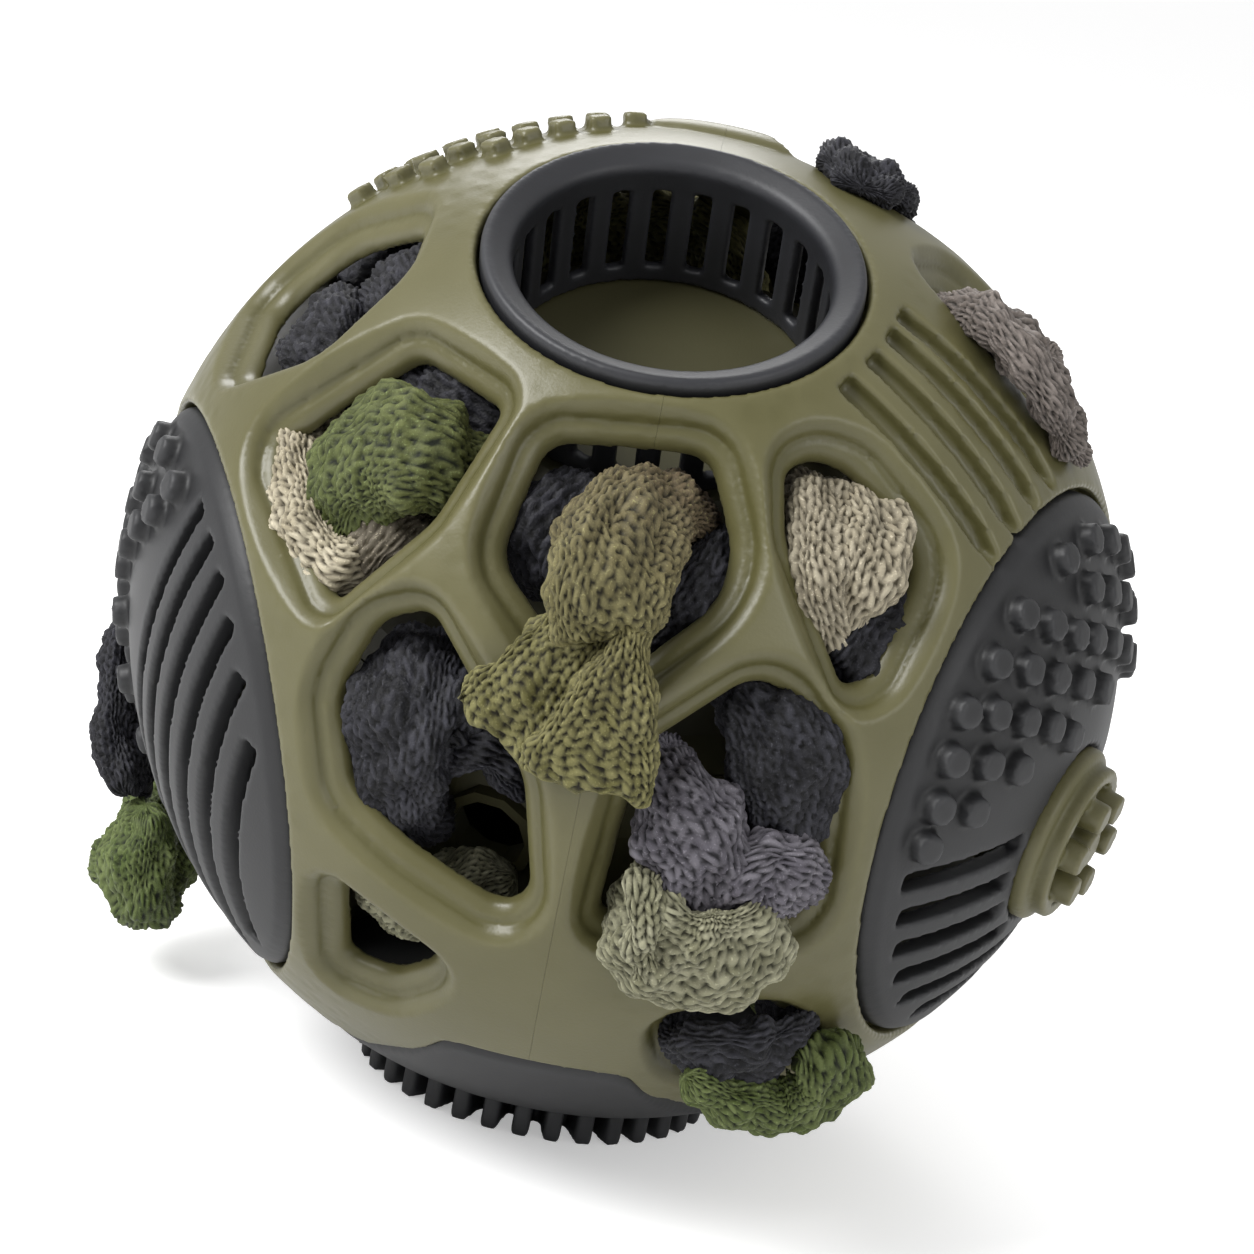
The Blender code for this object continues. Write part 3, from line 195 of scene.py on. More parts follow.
# Ball shell: two soft olive rubber halves that meet on an upright seam. Rounded windows with
# two-step lips pierce it, seats take the discs, collar and foot, four grip grooves run down to the
# right disc, and raised blocks and a low hump stand behind the collar.
BALL_RADIUS = 0.075
SHELL_WALL = 0.006
SHELL_OLIVE = (0.082, 0.076, 0.0275, 1.0)
SHELL_OLIVE_PALE = (0.128, 0.119, 0.056, 1.0)
SHELL_ROUGHNESS = 0.35
SHELL_EDGE_GAIN = 11000.0
SEAM_AZIMUTH = -85.5
SEAM_GAP = 0.00003
MERGE_DISTANCE = 0.000005
SHELL_GRAIN = 0.00052
SHELL_SMOOTHING = 4
SHELL_KEEP = 0.40
LEVEL_SNAP = 0.00007
# Strengths of the smoothing passes, three that melt edges and then pairs that keep the size
MELTING, EVENING = (0.5, 0.5, 0.5), (0.6, -0.62)
# Limits of the edge mark: below zero it is a painted shade in hollows, above zero it pales raised
# edges
EDGE_AND_HOLLOW_SHADE_LIMITS = (-0.5, 0.6)
WINDOW_CORNER, WINDOW_CORNER_MERGE = 0.0034, 0.0003
WINDOW_PLUG_DEPTH = 0.020
# Growth of the window's outline and rise towards the outside, from the inner edge up the lip
WINDOW_LIP = [(0.0002, 0.0012), (0.0014, 0.0013), (0.0013, 0.0001), (0.0002, 0.0012),
              (0.0013, 0.0012), (0.0006, 0.0006), (0.0008, 0.0120)]
WINDOW_EDGE_DEPTH = 0.0052
# Each window's corners, as azimuth and elevation in degrees
WINDOWS = {
    "front": [(-99, 32), (-78, 34.5), (-73.5, 23.5), (-75, 18), (-81, 12), (-86, 6), (-100, 18)],
    "front_left_upper": [(-135, 22), (-122, 37), (-106, 34), (-109, 20), (-118, 8), (-134, 19)],
    "front_right_upper": [(-68, 34), (-64, 36), (-58.5, 35), (-50, 26.5), (-50, 23), (-56, 12),
                          (-59, 11), (-67.5, 26)],
    "front_left": [(-106, 11), (-92, -4), (-89, -18), (-92, -21), (-105, -16), (-112, -12),
                   (-115, -1), (-112, 8)],
    "front_right": [(-70, 11), (-66, 10.5), (-60, 4), (-57.5, -14), (-60, -17), (-81, -19),
                    (-80, 2)],
    "left_upper": [(-152, 25), (-168, 33), (-164, 44), (-147, 52), (-135, 44), (-137, 33)],
    "left_lower": [(-113, -24), (-100, -30), (-101, -33), (-108, -38), (-116, -38)],
    "right_upper": [(-25, 60), (-24, 53), (-14, 38), (-2, 36), (4, 46), (-5, 59)],
    "right_lower": [(-69, -32), (-64, -40), (-49, -43), (-44, -39), (-53, -31), (-58, -28.5)],
    "top_right": [(16, 62), (8, 73), (45, 80), (72, 68), (58, 57), (33, 55)],
    "top_rear": [(100, 65), (84, 53), (97, 43), (121, 41), (131, 50), (121, 63)],
    "rear_left_upper": [(146, 36), (143, 47), (159, 55), (174, 50), (177, 39), (163, 32)],
    "rear_right_upper": [(20, 34), (36, 32), (56, 34), (60, 42), (40, 46), (18, 42)],
    "rear_left": [(137, 18), (152, 23), (168, 16), (166, 2), (151, -1), (137, 3)],
    "rear_left_lower": [(138, -10), (163, -9.5), (157, -26), (146, -31), (136, -24)],
    "rear_right": [(26, 16), (38, 21), (52, 16), (53, 3), (38, 0), (25, 3)],
    "rear_right_lower": [(25, -9), (53, -9), (50, -26), (38, -32), (27, -26)],
}
# Each disc's azimuth, elevation and turn about its axis, in degrees
DISCS = {"left": (-154.5, -15.5, 65.0), "right": (-18.0, -3.2, 12.0), "rear": (94.5, 0.0, 40.0)}
DISC_RADIUS = 0.0415
DISC_THICKNESS = 0.0032
DISC_SEAT_WIDTH = 0.0038
DISC_PLAY = 0.0006
# Upper and lower end of each cutter that opens the shell, along its axis from the ball's middle
DISC_OPENING, COLLAR_BORE, FOOT_OPENING = (0.079, 0.030), (0.080, 0.040), (-0.030, -0.079)
RIM_EASE, RIM_STEPS, RIM_FLARE, RIM_CUT_TOP = 0.0007, 6, 1.06, 0.084
COLLAR_AZIMUTH, COLLAR_ELEVATION = -90.0, 60.0
COLLAR_RIM_RADIUS = 0.0268
COLLAR_RIM_HEIGHT = 0.0044
COLLAR_BASKET_RADIUS = 0.0240
COLLAR_PLAY = 0.0004
COLLAR_RIM_TOP = math.sqrt(BALL_RADIUS ** 2 - COLLAR_RIM_RADIUS ** 2) + 0.0008
FOOT_LOBE_AZIMUTHS = (-84.5, 35.5, 155.5)
# Corners of a lobe, as degrees from its middle and reach
FOOT_OUTLINE = [(-36.0, 0.0420), (-18.5, 0.0500), (-13.5, 0.0545), (0.0, 0.0545), (13.5, 0.0545),
                (18.5, 0.0500)]
FOOT_SKIN = 0.0026
FOOT_PLAY = 0.0005
FOOT_SEAT_RADIUS = 0.0360
# Growth and rise of the cutter for the foot's recess, rounding the edge over
FOOT_LIP = [(0.0001, 0.0045), (0.00015, 0.00035), (0.00035, 0.00021), (0.0005, 0.00012),
            (0.0006, 0.00004), (0.0004, 0.0060)]
# Upper and lower end of each groove, as azimuth and elevation in degrees
GROOVES = [((-44.8, 53.3), (-24, 32)), ((-49.4, 50.5), (-29.3, 29.8)),
           ((-54.6, 47.2), (-34.5, 27)), ((-60.2, 43.7), (-39.5, 24.3))]
GROOVE_RADIUS = 0.0019
GROOVE_DEPTH = 0.0025
GROOVE_STATIONS, GROOVE_SIDES = 12, 16
GROOVE_LEVEL = 0.0002
# Where along a groove it starts to narrow and to fade, and how much width it loses
GROOVE_NARROWS, GROOVE_FADES, GROOVE_LOSS = 0.84, 0.92, 0.60
BLOCK_SIZE = (0.0036, 0.0033, 0.0056)
BLOCK_PITCH = 0.0056
BLOCK_MIDDLE = BALL_RADIUS - 0.0006
# Radius about the collar's axis and the arc's two ends, for each row of blocks
BLOCK_ROWS = [(0.0385, 118.0, 150.0), (0.0440, 105.0, 153.0), (0.0495, 134.0, 157.0),
              (0.0548, 141.0, 157.0)]
HUMP_SIZE = (0.0100, 0.0290, 0.0060)
HUMP_RING = 0.0436
HUMP_ANGLE = 88.0
HUMP_MIDDLE = BALL_RADIUS - 0.0012


def toward(azimuth, elevation):
    """The direction from the ball's middle, with azimuth -90 at the front."""
    a, e = math.radians(azimuth), math.radians(elevation)
    return Vector((math.cos(a) * math.cos(e), math.sin(a) * math.cos(e), math.sin(e)))


def ball_frame(azimuth, elevation, turn=0.0):
    """A frame at the ball's middle, with local +Z outwards and local +Y up along the surface."""
    out = toward(azimuth, elevation)
    up = toward(azimuth, elevation + 90.0)
    axes = Matrix((up.cross(out), up, out)).transposed().to_4x4()
    return ball_place @ axes @ Matrix.Rotation(math.radians(turn), 4, "Z")


def as_object(name, shape, place=None):
    """A mesh object from a bmesh, with its place in its mesh."""
    if place is not None:
        bmesh.ops.transform(shape, matrix=place, verts=shape.verts)
    bmesh.ops.recalc_face_normals(shape, faces=shape.faces)
    mesh = bpy.data.meshes.new(name)
    shape.to_mesh(mesh)
    shape.free()
    piece = bpy.data.objects.new(name, mesh)
    bpy.context.scene.collection.objects.link(piece)
    return piece


def settle(piece):
    """Puts the evaluated mesh in place of the piece's modifiers."""
    bpy.context.view_layer.update()
    mesh = bpy.data.meshes.new_from_object(
        piece.evaluated_get(bpy.context.evaluated_depsgraph_get()))
    piece.modifiers.clear()
    piece.data = mesh
    mesh.name = piece.name


def boolean(piece, tools, operation="DIFFERENCE"):
    """Exact Booleans with each tool in turn, which is used up; the mesh is cleaned after each."""
    for tool in tools:
        step = piece.modifiers.new(tool.name, "BOOLEAN")
        step.operation = operation
        step.solver = "EXACT"
        step.object = tool
        settle(piece)
        bpy.data.objects.remove(tool)
        shape = bmesh.new()
        shape.from_mesh(piece.data)
        bmesh.ops.remove_doubles(shape, verts=shape.verts, dist=MERGE_DISTANCE)
        bmesh.ops.dissolve_degenerate(shape, edges=shape.edges, dist=MERGE_DISTANCE)
        bmesh.ops.triangulate(shape, faces=shape.faces)
        shape.to_mesh(piece.data)
        shape.free()


def drop_crumbs(piece):
    """Leaves only the largest connected body of the piece."""
    shape = bmesh.new()
    shape.from_mesh(piece.data)
    waiting, bodies = set(shape.verts), []
    while waiting:
        body, front = set(), [waiting.pop()]
        while front:
            spot = front.pop()
            body.add(spot)
            near = {edge.other_vert(spot) for edge in spot.link_edges} & waiting
            waiting -= near
            front.extend(near)
        bodies.append(body)
    bodies.sort(key=len)
    bmesh.ops.delete(shape, geom=[v for body in bodies[:-1] for v in body], context="VERTS")
    shape.to_mesh(piece.data)
    shape.free()


def soften(piece, grain, passes, keep):
    """Melts every cut edge to a moulded radius: a fine even skin, made smooth, then thinned."""
    cut = bpy.data.objects.new(piece.name + "_cut", piece.data)
    bpy.context.scene.collection.objects.link(cut)
    skin = piece.modifiers.new("even_skin", "REMESH")
    skin.mode = "VOXEL"
    skin.voxel_size = grain
    fit = piece.modifiers.new("fit", "SHRINKWRAP")
    fit.target = cut
    settle(piece)
    bpy.data.objects.remove(cut)
    shape = bmesh.new()
    shape.from_mesh(piece.data)
    for spot in shape.verts:
        ray = spot.co - BALL_CENTRE
        for level in (BALL_RADIUS, BALL_RADIUS - SHELL_WALL):
            if abs(ray.length - level) < LEVEL_SNAP:
                spot.co = BALL_CENTRE + ray * (level / ray.length)
    for factor in MELTING + EVENING * passes:
        bmesh.ops.smooth_vert(shape, verts=shape.verts, factor=factor, use_axis_x=True,
                              use_axis_y=True, use_axis_z=True)
    shape.to_mesh(piece.data)
    shape.free()
    thinning = piece.modifiers.new("thinning", "DECIMATE")
    thinning.ratio = keep
    settle(piece)
    piece.data.shade_smooth()


def read(items, title, width, kind=np.float64):
    """One property of all of a mesh's items, as rows."""
    values = np.empty(len(items) * width, dtype=kind)
    items.foreach_get(title, values)
    return values.reshape(-1, width)


def store(mesh, title, values):
    """Keeps a number at each vertex for the materials."""
    layer = mesh.attributes.new(title, "FLOAT", "POINT")
    layer.data.foreach_set("value", values.astype(np.float32))


def neighbour_mean(values, edges, counts):
    """For each vertex, the mean of a value over the vertices next to it."""
    total = np.zeros_like(values)
    for column in range(values.shape[1]):
        total[:, column] = (np.bincount(edges[:, 0], values[edges[:, 1], column], len(values)) +
                            np.bincount(edges[:, 1], values[edges[:, 0], column], len(values)))
    return total / counts[:, None]


def mark_edges_and_hollow_shade(piece, strength):
    """Stores how far each spot stands out or sinks in: edges turn paler, hollows get painted
    shade.
    """
    mesh = piece.data
    points = read(mesh.vertices, "co", 3)
    normals = read(mesh.vertex_normals, "vector", 3)
    edges = read(mesh.edges, "vertices", 2, np.int32)
    counts = np.maximum(np.bincount(edges.ravel(), minlength=len(points)), 1)
    around = neighbour_mean(points, edges, counts)
    stand = ((points - around) * normals).sum(axis=1, keepdims=True) * strength
    for _ in range(3):
        stand = neighbour_mean(stand, edges, counts)
    store(mesh, "raised_edge_hollow_shade", np.clip(stand[:, 0], *EDGE_AND_HOLLOW_SHADE_LIMITS))


def spun(name, outline, steps, place):
    """A solid of revolution about the frame's Z from (radius, height) points."""
    shape = bmesh.new()
    line = [shape.verts.new((radius, 0.0, height)) for radius, height in outline]
    edges = [shape.edges.new(pair) for pair in zip(line, line[1:])]
    bmesh.ops.spin(shape, geom=line + edges, cent=(0.0, 0.0, 0.0), axis=(0.0, 0.0, 1.0),
                   angle=math.tau, steps=steps, use_merge=True)
    bmesh.ops.remove_doubles(shape, verts=shape.verts, dist=0.00001)
    return as_object(name, shape, place)


def cylinder(name, radius, top, bottom, steps, place):
    """A solid cylinder about the frame's Z."""
    return spun(name, [(0.0, top), (radius, top), (radius, bottom), (0.0, bottom)], steps, place)


def arc(radius, start, end, steps):
    """(radius, height) points of an arc about the ball's middle, by degrees from the axis."""
    return [(radius * math.sin(math.radians(start + (end - start) * i / steps)),
             radius * math.cos(math.radians(start + (end - start) * i / steps)))
            for i in range(steps + 1)]


def degrees_from_axis(reach, radius):
    """How far from the axis a point at that reach lies on a ball of that radius."""
    return math.degrees(math.asin(reach / radius))


def rounded_face(points, corner):
    """A flat face on an outline, with its corners rounded."""
    shape = bmesh.new()
    for point in points:
        shape.verts.new(point)
    bmesh.ops.contextual_create(shape, geom=shape.verts[:])
    bmesh.ops.bevel(shape, geom=shape.verts[:], offset=corner, segments=4, profile=0.5,
                    affect="VERTICES", clamp_overlap=True, material=-1)
    return shape


def raised(shape, rise):
    """Draws the flat shape up into a prism; gives back the faces at its top."""
    top = bmesh.ops.extrude_face_region(shape, geom=shape.faces[:], use_keep_orig=True)["geom"]
    bmesh.ops.translate(shape, vec=(0.0, 0.0, rise),
                        verts=[v for v in top if isinstance(v, bmesh.types.BMVert)])
    return [face for face in top if isinstance(face, bmesh.types.BMFace)]


def window_plug(place, corners, lip=WINDOW_LIP):
    """A closed plug through one window, flared at its outer end like the window's lip."""
    out = sum((toward(*corner) for corner in corners), Vector()).normalized()
    up = out.cross(Vector((0.3, 1.0, 0.1))).normalized()
    side = up.cross(out)
    rays = [toward(*corner) / toward(*corner).dot(out) * BALL_RADIUS for corner in corners]
    shape = rounded_face([(ray.dot(side), ray.dot(up), -WINDOW_PLUG_DEPTH) for ray in rays],
                         WINDOW_CORNER)
    bmesh.ops.remove_doubles(shape, verts=shape.verts, dist=WINDOW_CORNER_MERGE)
    shape.normal_update()
    shape.faces.ensure_lookup_table()
    if shape.faces[0].normal.z < 0.0:
        bmesh.ops.reverse_faces(shape, faces=shape.faces[:])
    end = raised(shape, WINDOW_PLUG_DEPTH - WINDOW_EDGE_DEPTH)
    for growth, rise in lip:
        shape.normal_update()
        bmesh.ops.inset_region(shape, faces=end, thickness=-growth, depth=rise,
                               use_even_offset=True, use_boundary=True)
    for corner in shape.verts:
        ray = out + (side * corner.co.x + up * corner.co.y) / BALL_RADIUS
        corner.co = BALL_CENTRE + ray.normalized() * (BALL_RADIUS + corner.co.z)
    bmesh.ops.triangulate(shape, faces=shape.faces)
    return as_object("window_" + place, shape)


def eased_rim(reach):
    """(radius, height) points of a cutter that rounds the ball's surface over into its wall."""
    x, z = reach + RIM_EASE, math.sqrt((BALL_RADIUS - RIM_EASE) ** 2 - (reach + RIM_EASE) ** 2)
    start = math.atan2(z, x)
    angles = [start + (math.pi - start) * i / RIM_STEPS for i in range(RIM_STEPS + 1)]
    rim = [(x + RIM_EASE * math.cos(angle), z + RIM_EASE * math.sin(angle)) for angle in angles]
    return [(0.0, RIM_CUT_TOP), (rim[0][0] * RIM_FLARE, rim[0][1] * RIM_FLARE)] + rim


def disc_seat(place):
    """The recess that a side disc is pressed into, and the opening inside its ledge."""
    frame_of_disc = ball_frame(*DISCS[place])
    reach = DISC_RADIUS + DISC_PLAY
    floor_radius = BALL_RADIUS - DISC_THICKNESS
    recess = eased_rim(reach) + arc(floor_radius, degrees_from_axis(reach, floor_radius), 0.0, 8)
    inner = DISC_RADIUS - DISC_SEAT_WIDTH
    return [spun("disc_recess_" + place, recess, 64, frame_of_disc),
            cylinder("disc_opening_" + place, inner, *DISC_OPENING, 64, frame_of_disc)]


def ball_of(name, radius):
    """A ball about the shell's middle, turned so that no ring of its faces meets a seat's."""
    shape = bmesh.new()
    bmesh.ops.create_icosphere(shape, subdivisions=5, radius=radius)
    return as_object(name, shape, ball_place @ Matrix.Rotation(0.3, 4, (1, 2, 3)))


def add_box(shape, size, place):
    """One more box in the shape, of the given size, placed by a matrix."""
    corners = bmesh.ops.create_cube(shape, size=1.0)["verts"]
    bmesh.ops.scale(shape, vec=size, verts=corners)
    bmesh.ops.transform(shape, matrix=place, verts=corners)


def grip_groove(index, start, end):
    """A round-bottomed channel along the ball, blunt at its upper end and fading at its lower."""
    shape = bmesh.new()
    bmesh.ops.create_circle(shape, cap_ends=True, segments=GROOVE_SIDES, radius=1.0)
    for spot in shape.verts:
        spot.co.x = math.copysign(abs(spot.co.x) ** 0.5, spot.co.x)
        spot.co.y = math.copysign(abs(spot.co.y) ** 0.5, spot.co.y)
    first, last = toward(*start), toward(*end)
    span = first.angle(last)
    loops = []
    for i in range(GROOVE_STATIONS + 1):
        share = i / GROOVE_STATIONS
        ray = first * math.sin((1 - share) * span) + last * math.sin(share * span)
        ray /= math.sin(span)
        along = (last - first).normalized()
        along = (along - ray * along.dot(ray)).normalized()
        narrowed = max(0.0, (share - GROOVE_NARROWS) / (1.0 - GROOVE_NARROWS))
        faded = max(0.0, (share - GROOVE_FADES) / (1.0 - GROOVE_FADES))
        wide = GROOVE_RADIUS * (1.0 - GROOVE_LOSS * narrowed)
        deep = GROOVE_DEPTH * (1.0 - faded) + GROOVE_LEVEL
        centre = BALL_CENTRE + ray * (BALL_RADIUS + GROOVE_RADIUS - deep)
        axes = Matrix((along.cross(ray), ray, along)).transposed().to_4x4()
        section = Matrix.Diagonal((wide, GROOVE_RADIUS, 1.0, 1.0))
        loops.append(Matrix.Translation(centre) @ axes @ section)
    face = shape.faces[:]
    bmesh.ops.transform(shape, matrix=loops[0], verts=shape.verts)
    placed = loops[0]
    for loop in loops[1:]:
        behind = face
        grown = bmesh.ops.extrude_face_region(shape, geom=face)["geom"]
        rim = [v for v in grown if isinstance(v, bmesh.types.BMVert)]
        face = [f for f in grown if isinstance(f, bmesh.types.BMFace)]
        bmesh.ops.transform(shape, matrix=loop @ placed.inverted(), verts=rim)
        if placed is not loops[0]:
            bmesh.ops.delete(shape, geom=behind, context="FACES_ONLY")
        placed = loop
    bmesh.ops.triangulate(shape, faces=shape.faces)
    return as_object("groove_%d" % index, shape)


def grip_blocks():
    """Rows of raised blocks behind the collar, along arcs about the collar's axis."""
    shape = bmesh.new()
    for row, (ring, start, end) in enumerate(BLOCK_ROWS):
        tilt = math.asin(ring / BALL_RADIUS)
        step = math.degrees(BLOCK_PITCH / ring)
        for i in range(int((end - start) / step) + 1):
            angle = math.radians(start + (i + 0.5 * (row % 2)) * step)
            add_box(shape, BLOCK_SIZE,
                    Matrix.Rotation(angle, 4, "Z") @ Matrix.Rotation(tilt, 4, "Y") @
                    Matrix.Translation((0.0, 0.0, BLOCK_MIDDLE)))
    return as_object("grip_blocks", shape, collar_frame)


def grip_hump():
    """A long low hump that ends the rows of blocks beside the top right window."""
    shape = bmesh.new()
    bmesh.ops.create_icosphere(shape, subdivisions=4, radius=0.5)
    bmesh.ops.scale(shape, vec=HUMP_SIZE, verts=shape.verts)
    stand = (Matrix.Rotation(math.radians(HUMP_ANGLE), 4, "Z") @
             Matrix.Rotation(math.asin(HUMP_RING / BALL_RADIUS), 4, "Y") @
             Matrix.Translation((0.0, 0.0, HUMP_MIDDLE)))
    return as_object("grip_hump", shape, collar_frame @ stand)


ball_place = Matrix.Translation(BALL_CENTRE)
collar_frame = ball_frame(COLLAR_AZIMUTH, COLLAR_ELEVATION)
whole_shell = ball_of("whole_shell", BALL_RADIUS)
boolean(whole_shell, [grip_blocks(), grip_hump()], "UNION")
seat_reach = COLLAR_RIM_RADIUS + COLLAR_PLAY
seat_floor = COLLAR_RIM_TOP - COLLAR_RIM_HEIGHT - COLLAR_PLAY / 2
collar_seat = spun("collar_seat", eased_rim(seat_reach) + [(seat_reach, seat_floor),
                                                           (0.0, seat_floor)], 96, collar_frame)
collar_bore = cylinder("collar_bore", COLLAR_BASKET_RADIUS + COLLAR_PLAY, *COLLAR_BORE, 72,
                       collar_frame)
foot_corners = [(lobe + offset, -math.degrees(math.acos((radius + FOOT_PLAY) / BALL_RADIUS)))
                for lobe in FOOT_LOBE_AZIMUTHS for offset, radius in FOOT_OUTLINE]
foot_recess = window_plug("foot", foot_corners, FOOT_LIP)
boolean(foot_recess, [ball_of("foot_floor", BALL_RADIUS - FOOT_SKIN - FOOT_PLAY)])
foot_opening = cylinder("foot_opening", FOOT_SEAT_RADIUS, *FOOT_OPENING, 64, ball_place)
seats = [seat for place in DISCS for seat in disc_seat(place)]
boolean(whole_shell, [ball_of("shell_hollow", BALL_RADIUS - SHELL_WALL), *seats, collar_seat,
                      collar_bore, foot_recess, foot_opening])
boolean(whole_shell, [window_plug(place, corners) for place, corners in WINDOWS.items()])
boolean(whole_shell, [grip_groove(i, start, end) for i, (start, end) in enumerate(GROOVES)])
soften(whole_shell, SHELL_GRAIN, SHELL_SMOOTHING, SHELL_KEEP)
drop_crumbs(whole_shell)
mark_edges_and_hollow_shade(whole_shell, SHELL_EDGE_GAIN)
shell_rubber = moulded_rubber("shell_rubber", SHELL_OLIVE, SHELL_OLIVE_PALE, SHELL_ROUGHNESS)
seam_side = toward(SEAM_AZIMUTH + 90.0, 0.0)
for name, side in (("shell_left", -1.0), ("shell_right", 1.0)):
    half = bmesh.new()
    half.from_mesh(whole_shell.data)
    cut = bmesh.ops.bisect_plane(half, geom=half.verts[:] + half.edges[:] + half.faces[:],
                                 dist=0.000001, clear_inner=True, plane_no=seam_side * side,
                                 plane_co=BALL_CENTRE + seam_side * side * SEAM_GAP / 2)
    rims = [edge for edge in cut["geom_cut"] if isinstance(edge, bmesh.types.BMEdge)]
    bmesh.ops.holes_fill(half, edges=rims, sides=0)
    piece = as_object(name + "_moulding", half)
    piece.data.shade_smooth()
    piece.data.set_sharp_from_angle(angle=math.radians(60.0))
    piece.data.materials.append(shell_rubber)
    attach(piece, "ball")
    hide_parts(name)
bpy.data.objects.remove(whole_shell)

# Treat collar: a dark grey rubber ring with a slotted basket under it, which lifts out for
# filling. The rim slopes in to the mouth, and 24 slots run down the basket to a closed hoop.
COLLAR_GREY = (0.0110, 0.0113, 0.0134, 1.0)
COLLAR_GREY_PALE = (0.029, 0.030, 0.035, 1.0)
COLLAR_ROUGHNESS = 0.46
COLLAR_GRAIN, COLLAR_SMOOTHING, COLLAR_KEEP, COLLAR_EDGE_GAIN = 0.00045, 3, 0.80, 14000.0
COLLAR_MOUTH = 0.0222
COLLAR_BOTTOM = 0.0489
COLLAR_PROFILE = [(COLLAR_MOUTH, COLLAR_BOTTOM), (COLLAR_MOUTH, COLLAR_RIM_TOP - 0.0020),
                  (COLLAR_MOUTH + 0.0003, COLLAR_RIM_TOP - 0.0013),
                  (COLLAR_MOUTH + 0.0008, COLLAR_RIM_TOP - 0.0008),
                  (COLLAR_RIM_RADIUS - 0.0010, COLLAR_RIM_TOP + 0.0003),
                  (COLLAR_RIM_RADIUS - 0.0003, COLLAR_RIM_TOP + 0.0001),
                  (COLLAR_RIM_RADIUS, COLLAR_RIM_TOP - 0.0006),
                  (COLLAR_RIM_RADIUS, COLLAR_RIM_TOP - COLLAR_RIM_HEIGHT),
                  (COLLAR_BASKET_RADIUS, COLLAR_RIM_TOP - COLLAR_RIM_HEIGHT),
                  (COLLAR_BASKET_RADIUS, COLLAR_BOTTOM), (COLLAR_MOUTH, COLLAR_BOTTOM)]
COLLAR_SLOTS = 24
COLLAR_SLOT = (0.0090, 0.0027, 0.0138)
COLLAR_SLOT_MIDDLE = 0.0584

collar = spun("treat_collar_moulding", COLLAR_PROFILE, 96, collar_frame)
slot_shape = bmesh.new()
slot_place = Matrix.Translation((COLLAR_BASKET_RADIUS, 0.0, COLLAR_SLOT_MIDDLE))
for i in range(COLLAR_SLOTS):
    turn = Matrix.Rotation(math.tau * i / COLLAR_SLOTS, 4, "Z")
    add_box(slot_shape, COLLAR_SLOT, turn @ slot_place)
boolean(collar, [as_object("collar_slots", slot_shape, collar_frame)])
soften(collar, COLLAR_GRAIN, COLLAR_SMOOTHING, COLLAR_KEEP)
mark_edges_and_hollow_shade(collar, COLLAR_EDGE_GAIN)
collar_rubber = moulded_rubber("collar_rubber", COLLAR_GREY, COLLAR_GREY_PALE, COLLAR_ROUGHNESS)
collar.data.materials.append(collar_rubber)
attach(collar, "collar")
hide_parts("treat_collar")

# Side discs: dark grey rubber dishes pressed into the shell's round seats. Round studs cover the
# upper half of each, and parallel slots cut right through the lower half, clear of the hub knob.
DISC_GREY = (0.0078, 0.0080, 0.0088, 1.0)
DISC_GREY_PALE = (0.025, 0.0255, 0.0275, 1.0)
DISC_ROUGHNESS = 0.50
DISC_GRAIN, DISC_SMOOTHING, DISC_KEEP, DISC_EDGE_GAIN = 0.00052, 4, 0.70, 14000.0
# Degrees short of the rim where the disc's arc ends, then how far its points lie in and down
DISC_EDGE_START, DISC_EDGE = 1.1, [(0.0006, 0.0001), (0.0, 0.0010)]
DISC_LIFT = 0.0001
STUD_RADIUS = 0.0026
STUD_HEIGHT = 0.0025
# How far studs and lugs are sunk into what they stand on, and the width of their tops
SUNK, TAPER = 0.0008, 0.86
# Each stud's place on the disc, in millimetres across and up from its middle
STUDS = [(6.2, 35.8), (14.4, 32.9), (22.3, 28.6), (-3.5, 36.2), (2.4, 30.6), (9.5, 27.7),
         (16.9, 24.0), (29.0, 23.5), (24.0, 19.0), (33.0, 15.5), (22.5, 12.5), (28.5, 8.5),
         (34.5, 6.0), (-16.6, 32.5), (-10.9, 29.6), (-5.2, 26.6), (0.6, 24.2), (7.6, 21.0),
         (15.2, 17.0), (-23.7, 27.8), (-17.6, 25.5), (-11.8, 22.7), (-4.6, 19.6), (2.8, 16.2),
         (-30.1, 22.6), (-25.1, 21.3), (-19.4, 18.9), (-13.5, 16.3), (-8.3, 13.2),
         (-32.8, 16.5), (-26.8, 14.7), (-20.9, 12.4), (-34.8, 10.2), (-29.1, 8.4), (-36.2, 4.6)]
VENT_WIDTH, VENT_DEPTH = 0.0028, 0.060
VENT_FIRST, VENT_PITCH, VENTS = -0.0015, 0.00605, 6
VENT_RIM_MARGIN = 0.0040
# Each knob's azimuth and elevation, in degrees
KNOBS = {"right": (-17.2, -8.2), "rear": (94.5, -5.0)}
KNOB_RADIUS = 0.0135
KNOB_FLOOR = BALL_RADIUS - 0.0022
KNOB_CLEARANCE = 0.0020
HUB_PLAY, HUB_FLOOR_PLAY = 0.0004, 0.0003
HUB_PAD_RADIUS, HUB_PAD_BOTTOM = 0.0110, 0.0708
HUB_BORE_RADIUS, HUB_BORE_BOTTOM = 0.0053, 0.055
HUB_CUT_TOP = 0.0805
disc_rubber = moulded_rubber("disc_rubber", DISC_GREY, DISC_GREY_PALE, DISC_ROUGHNESS)


def knob_on_disc(place):
    """Where the knob's axis meets the disc, in the disc's own frame, or nothing."""
    if place not in KNOBS:
        return None
    turned = ball_frame(*DISCS[place]).to_3x3().inverted() @ toward(*KNOBS[place]) * BALL_RADIUS
    return turned.xy


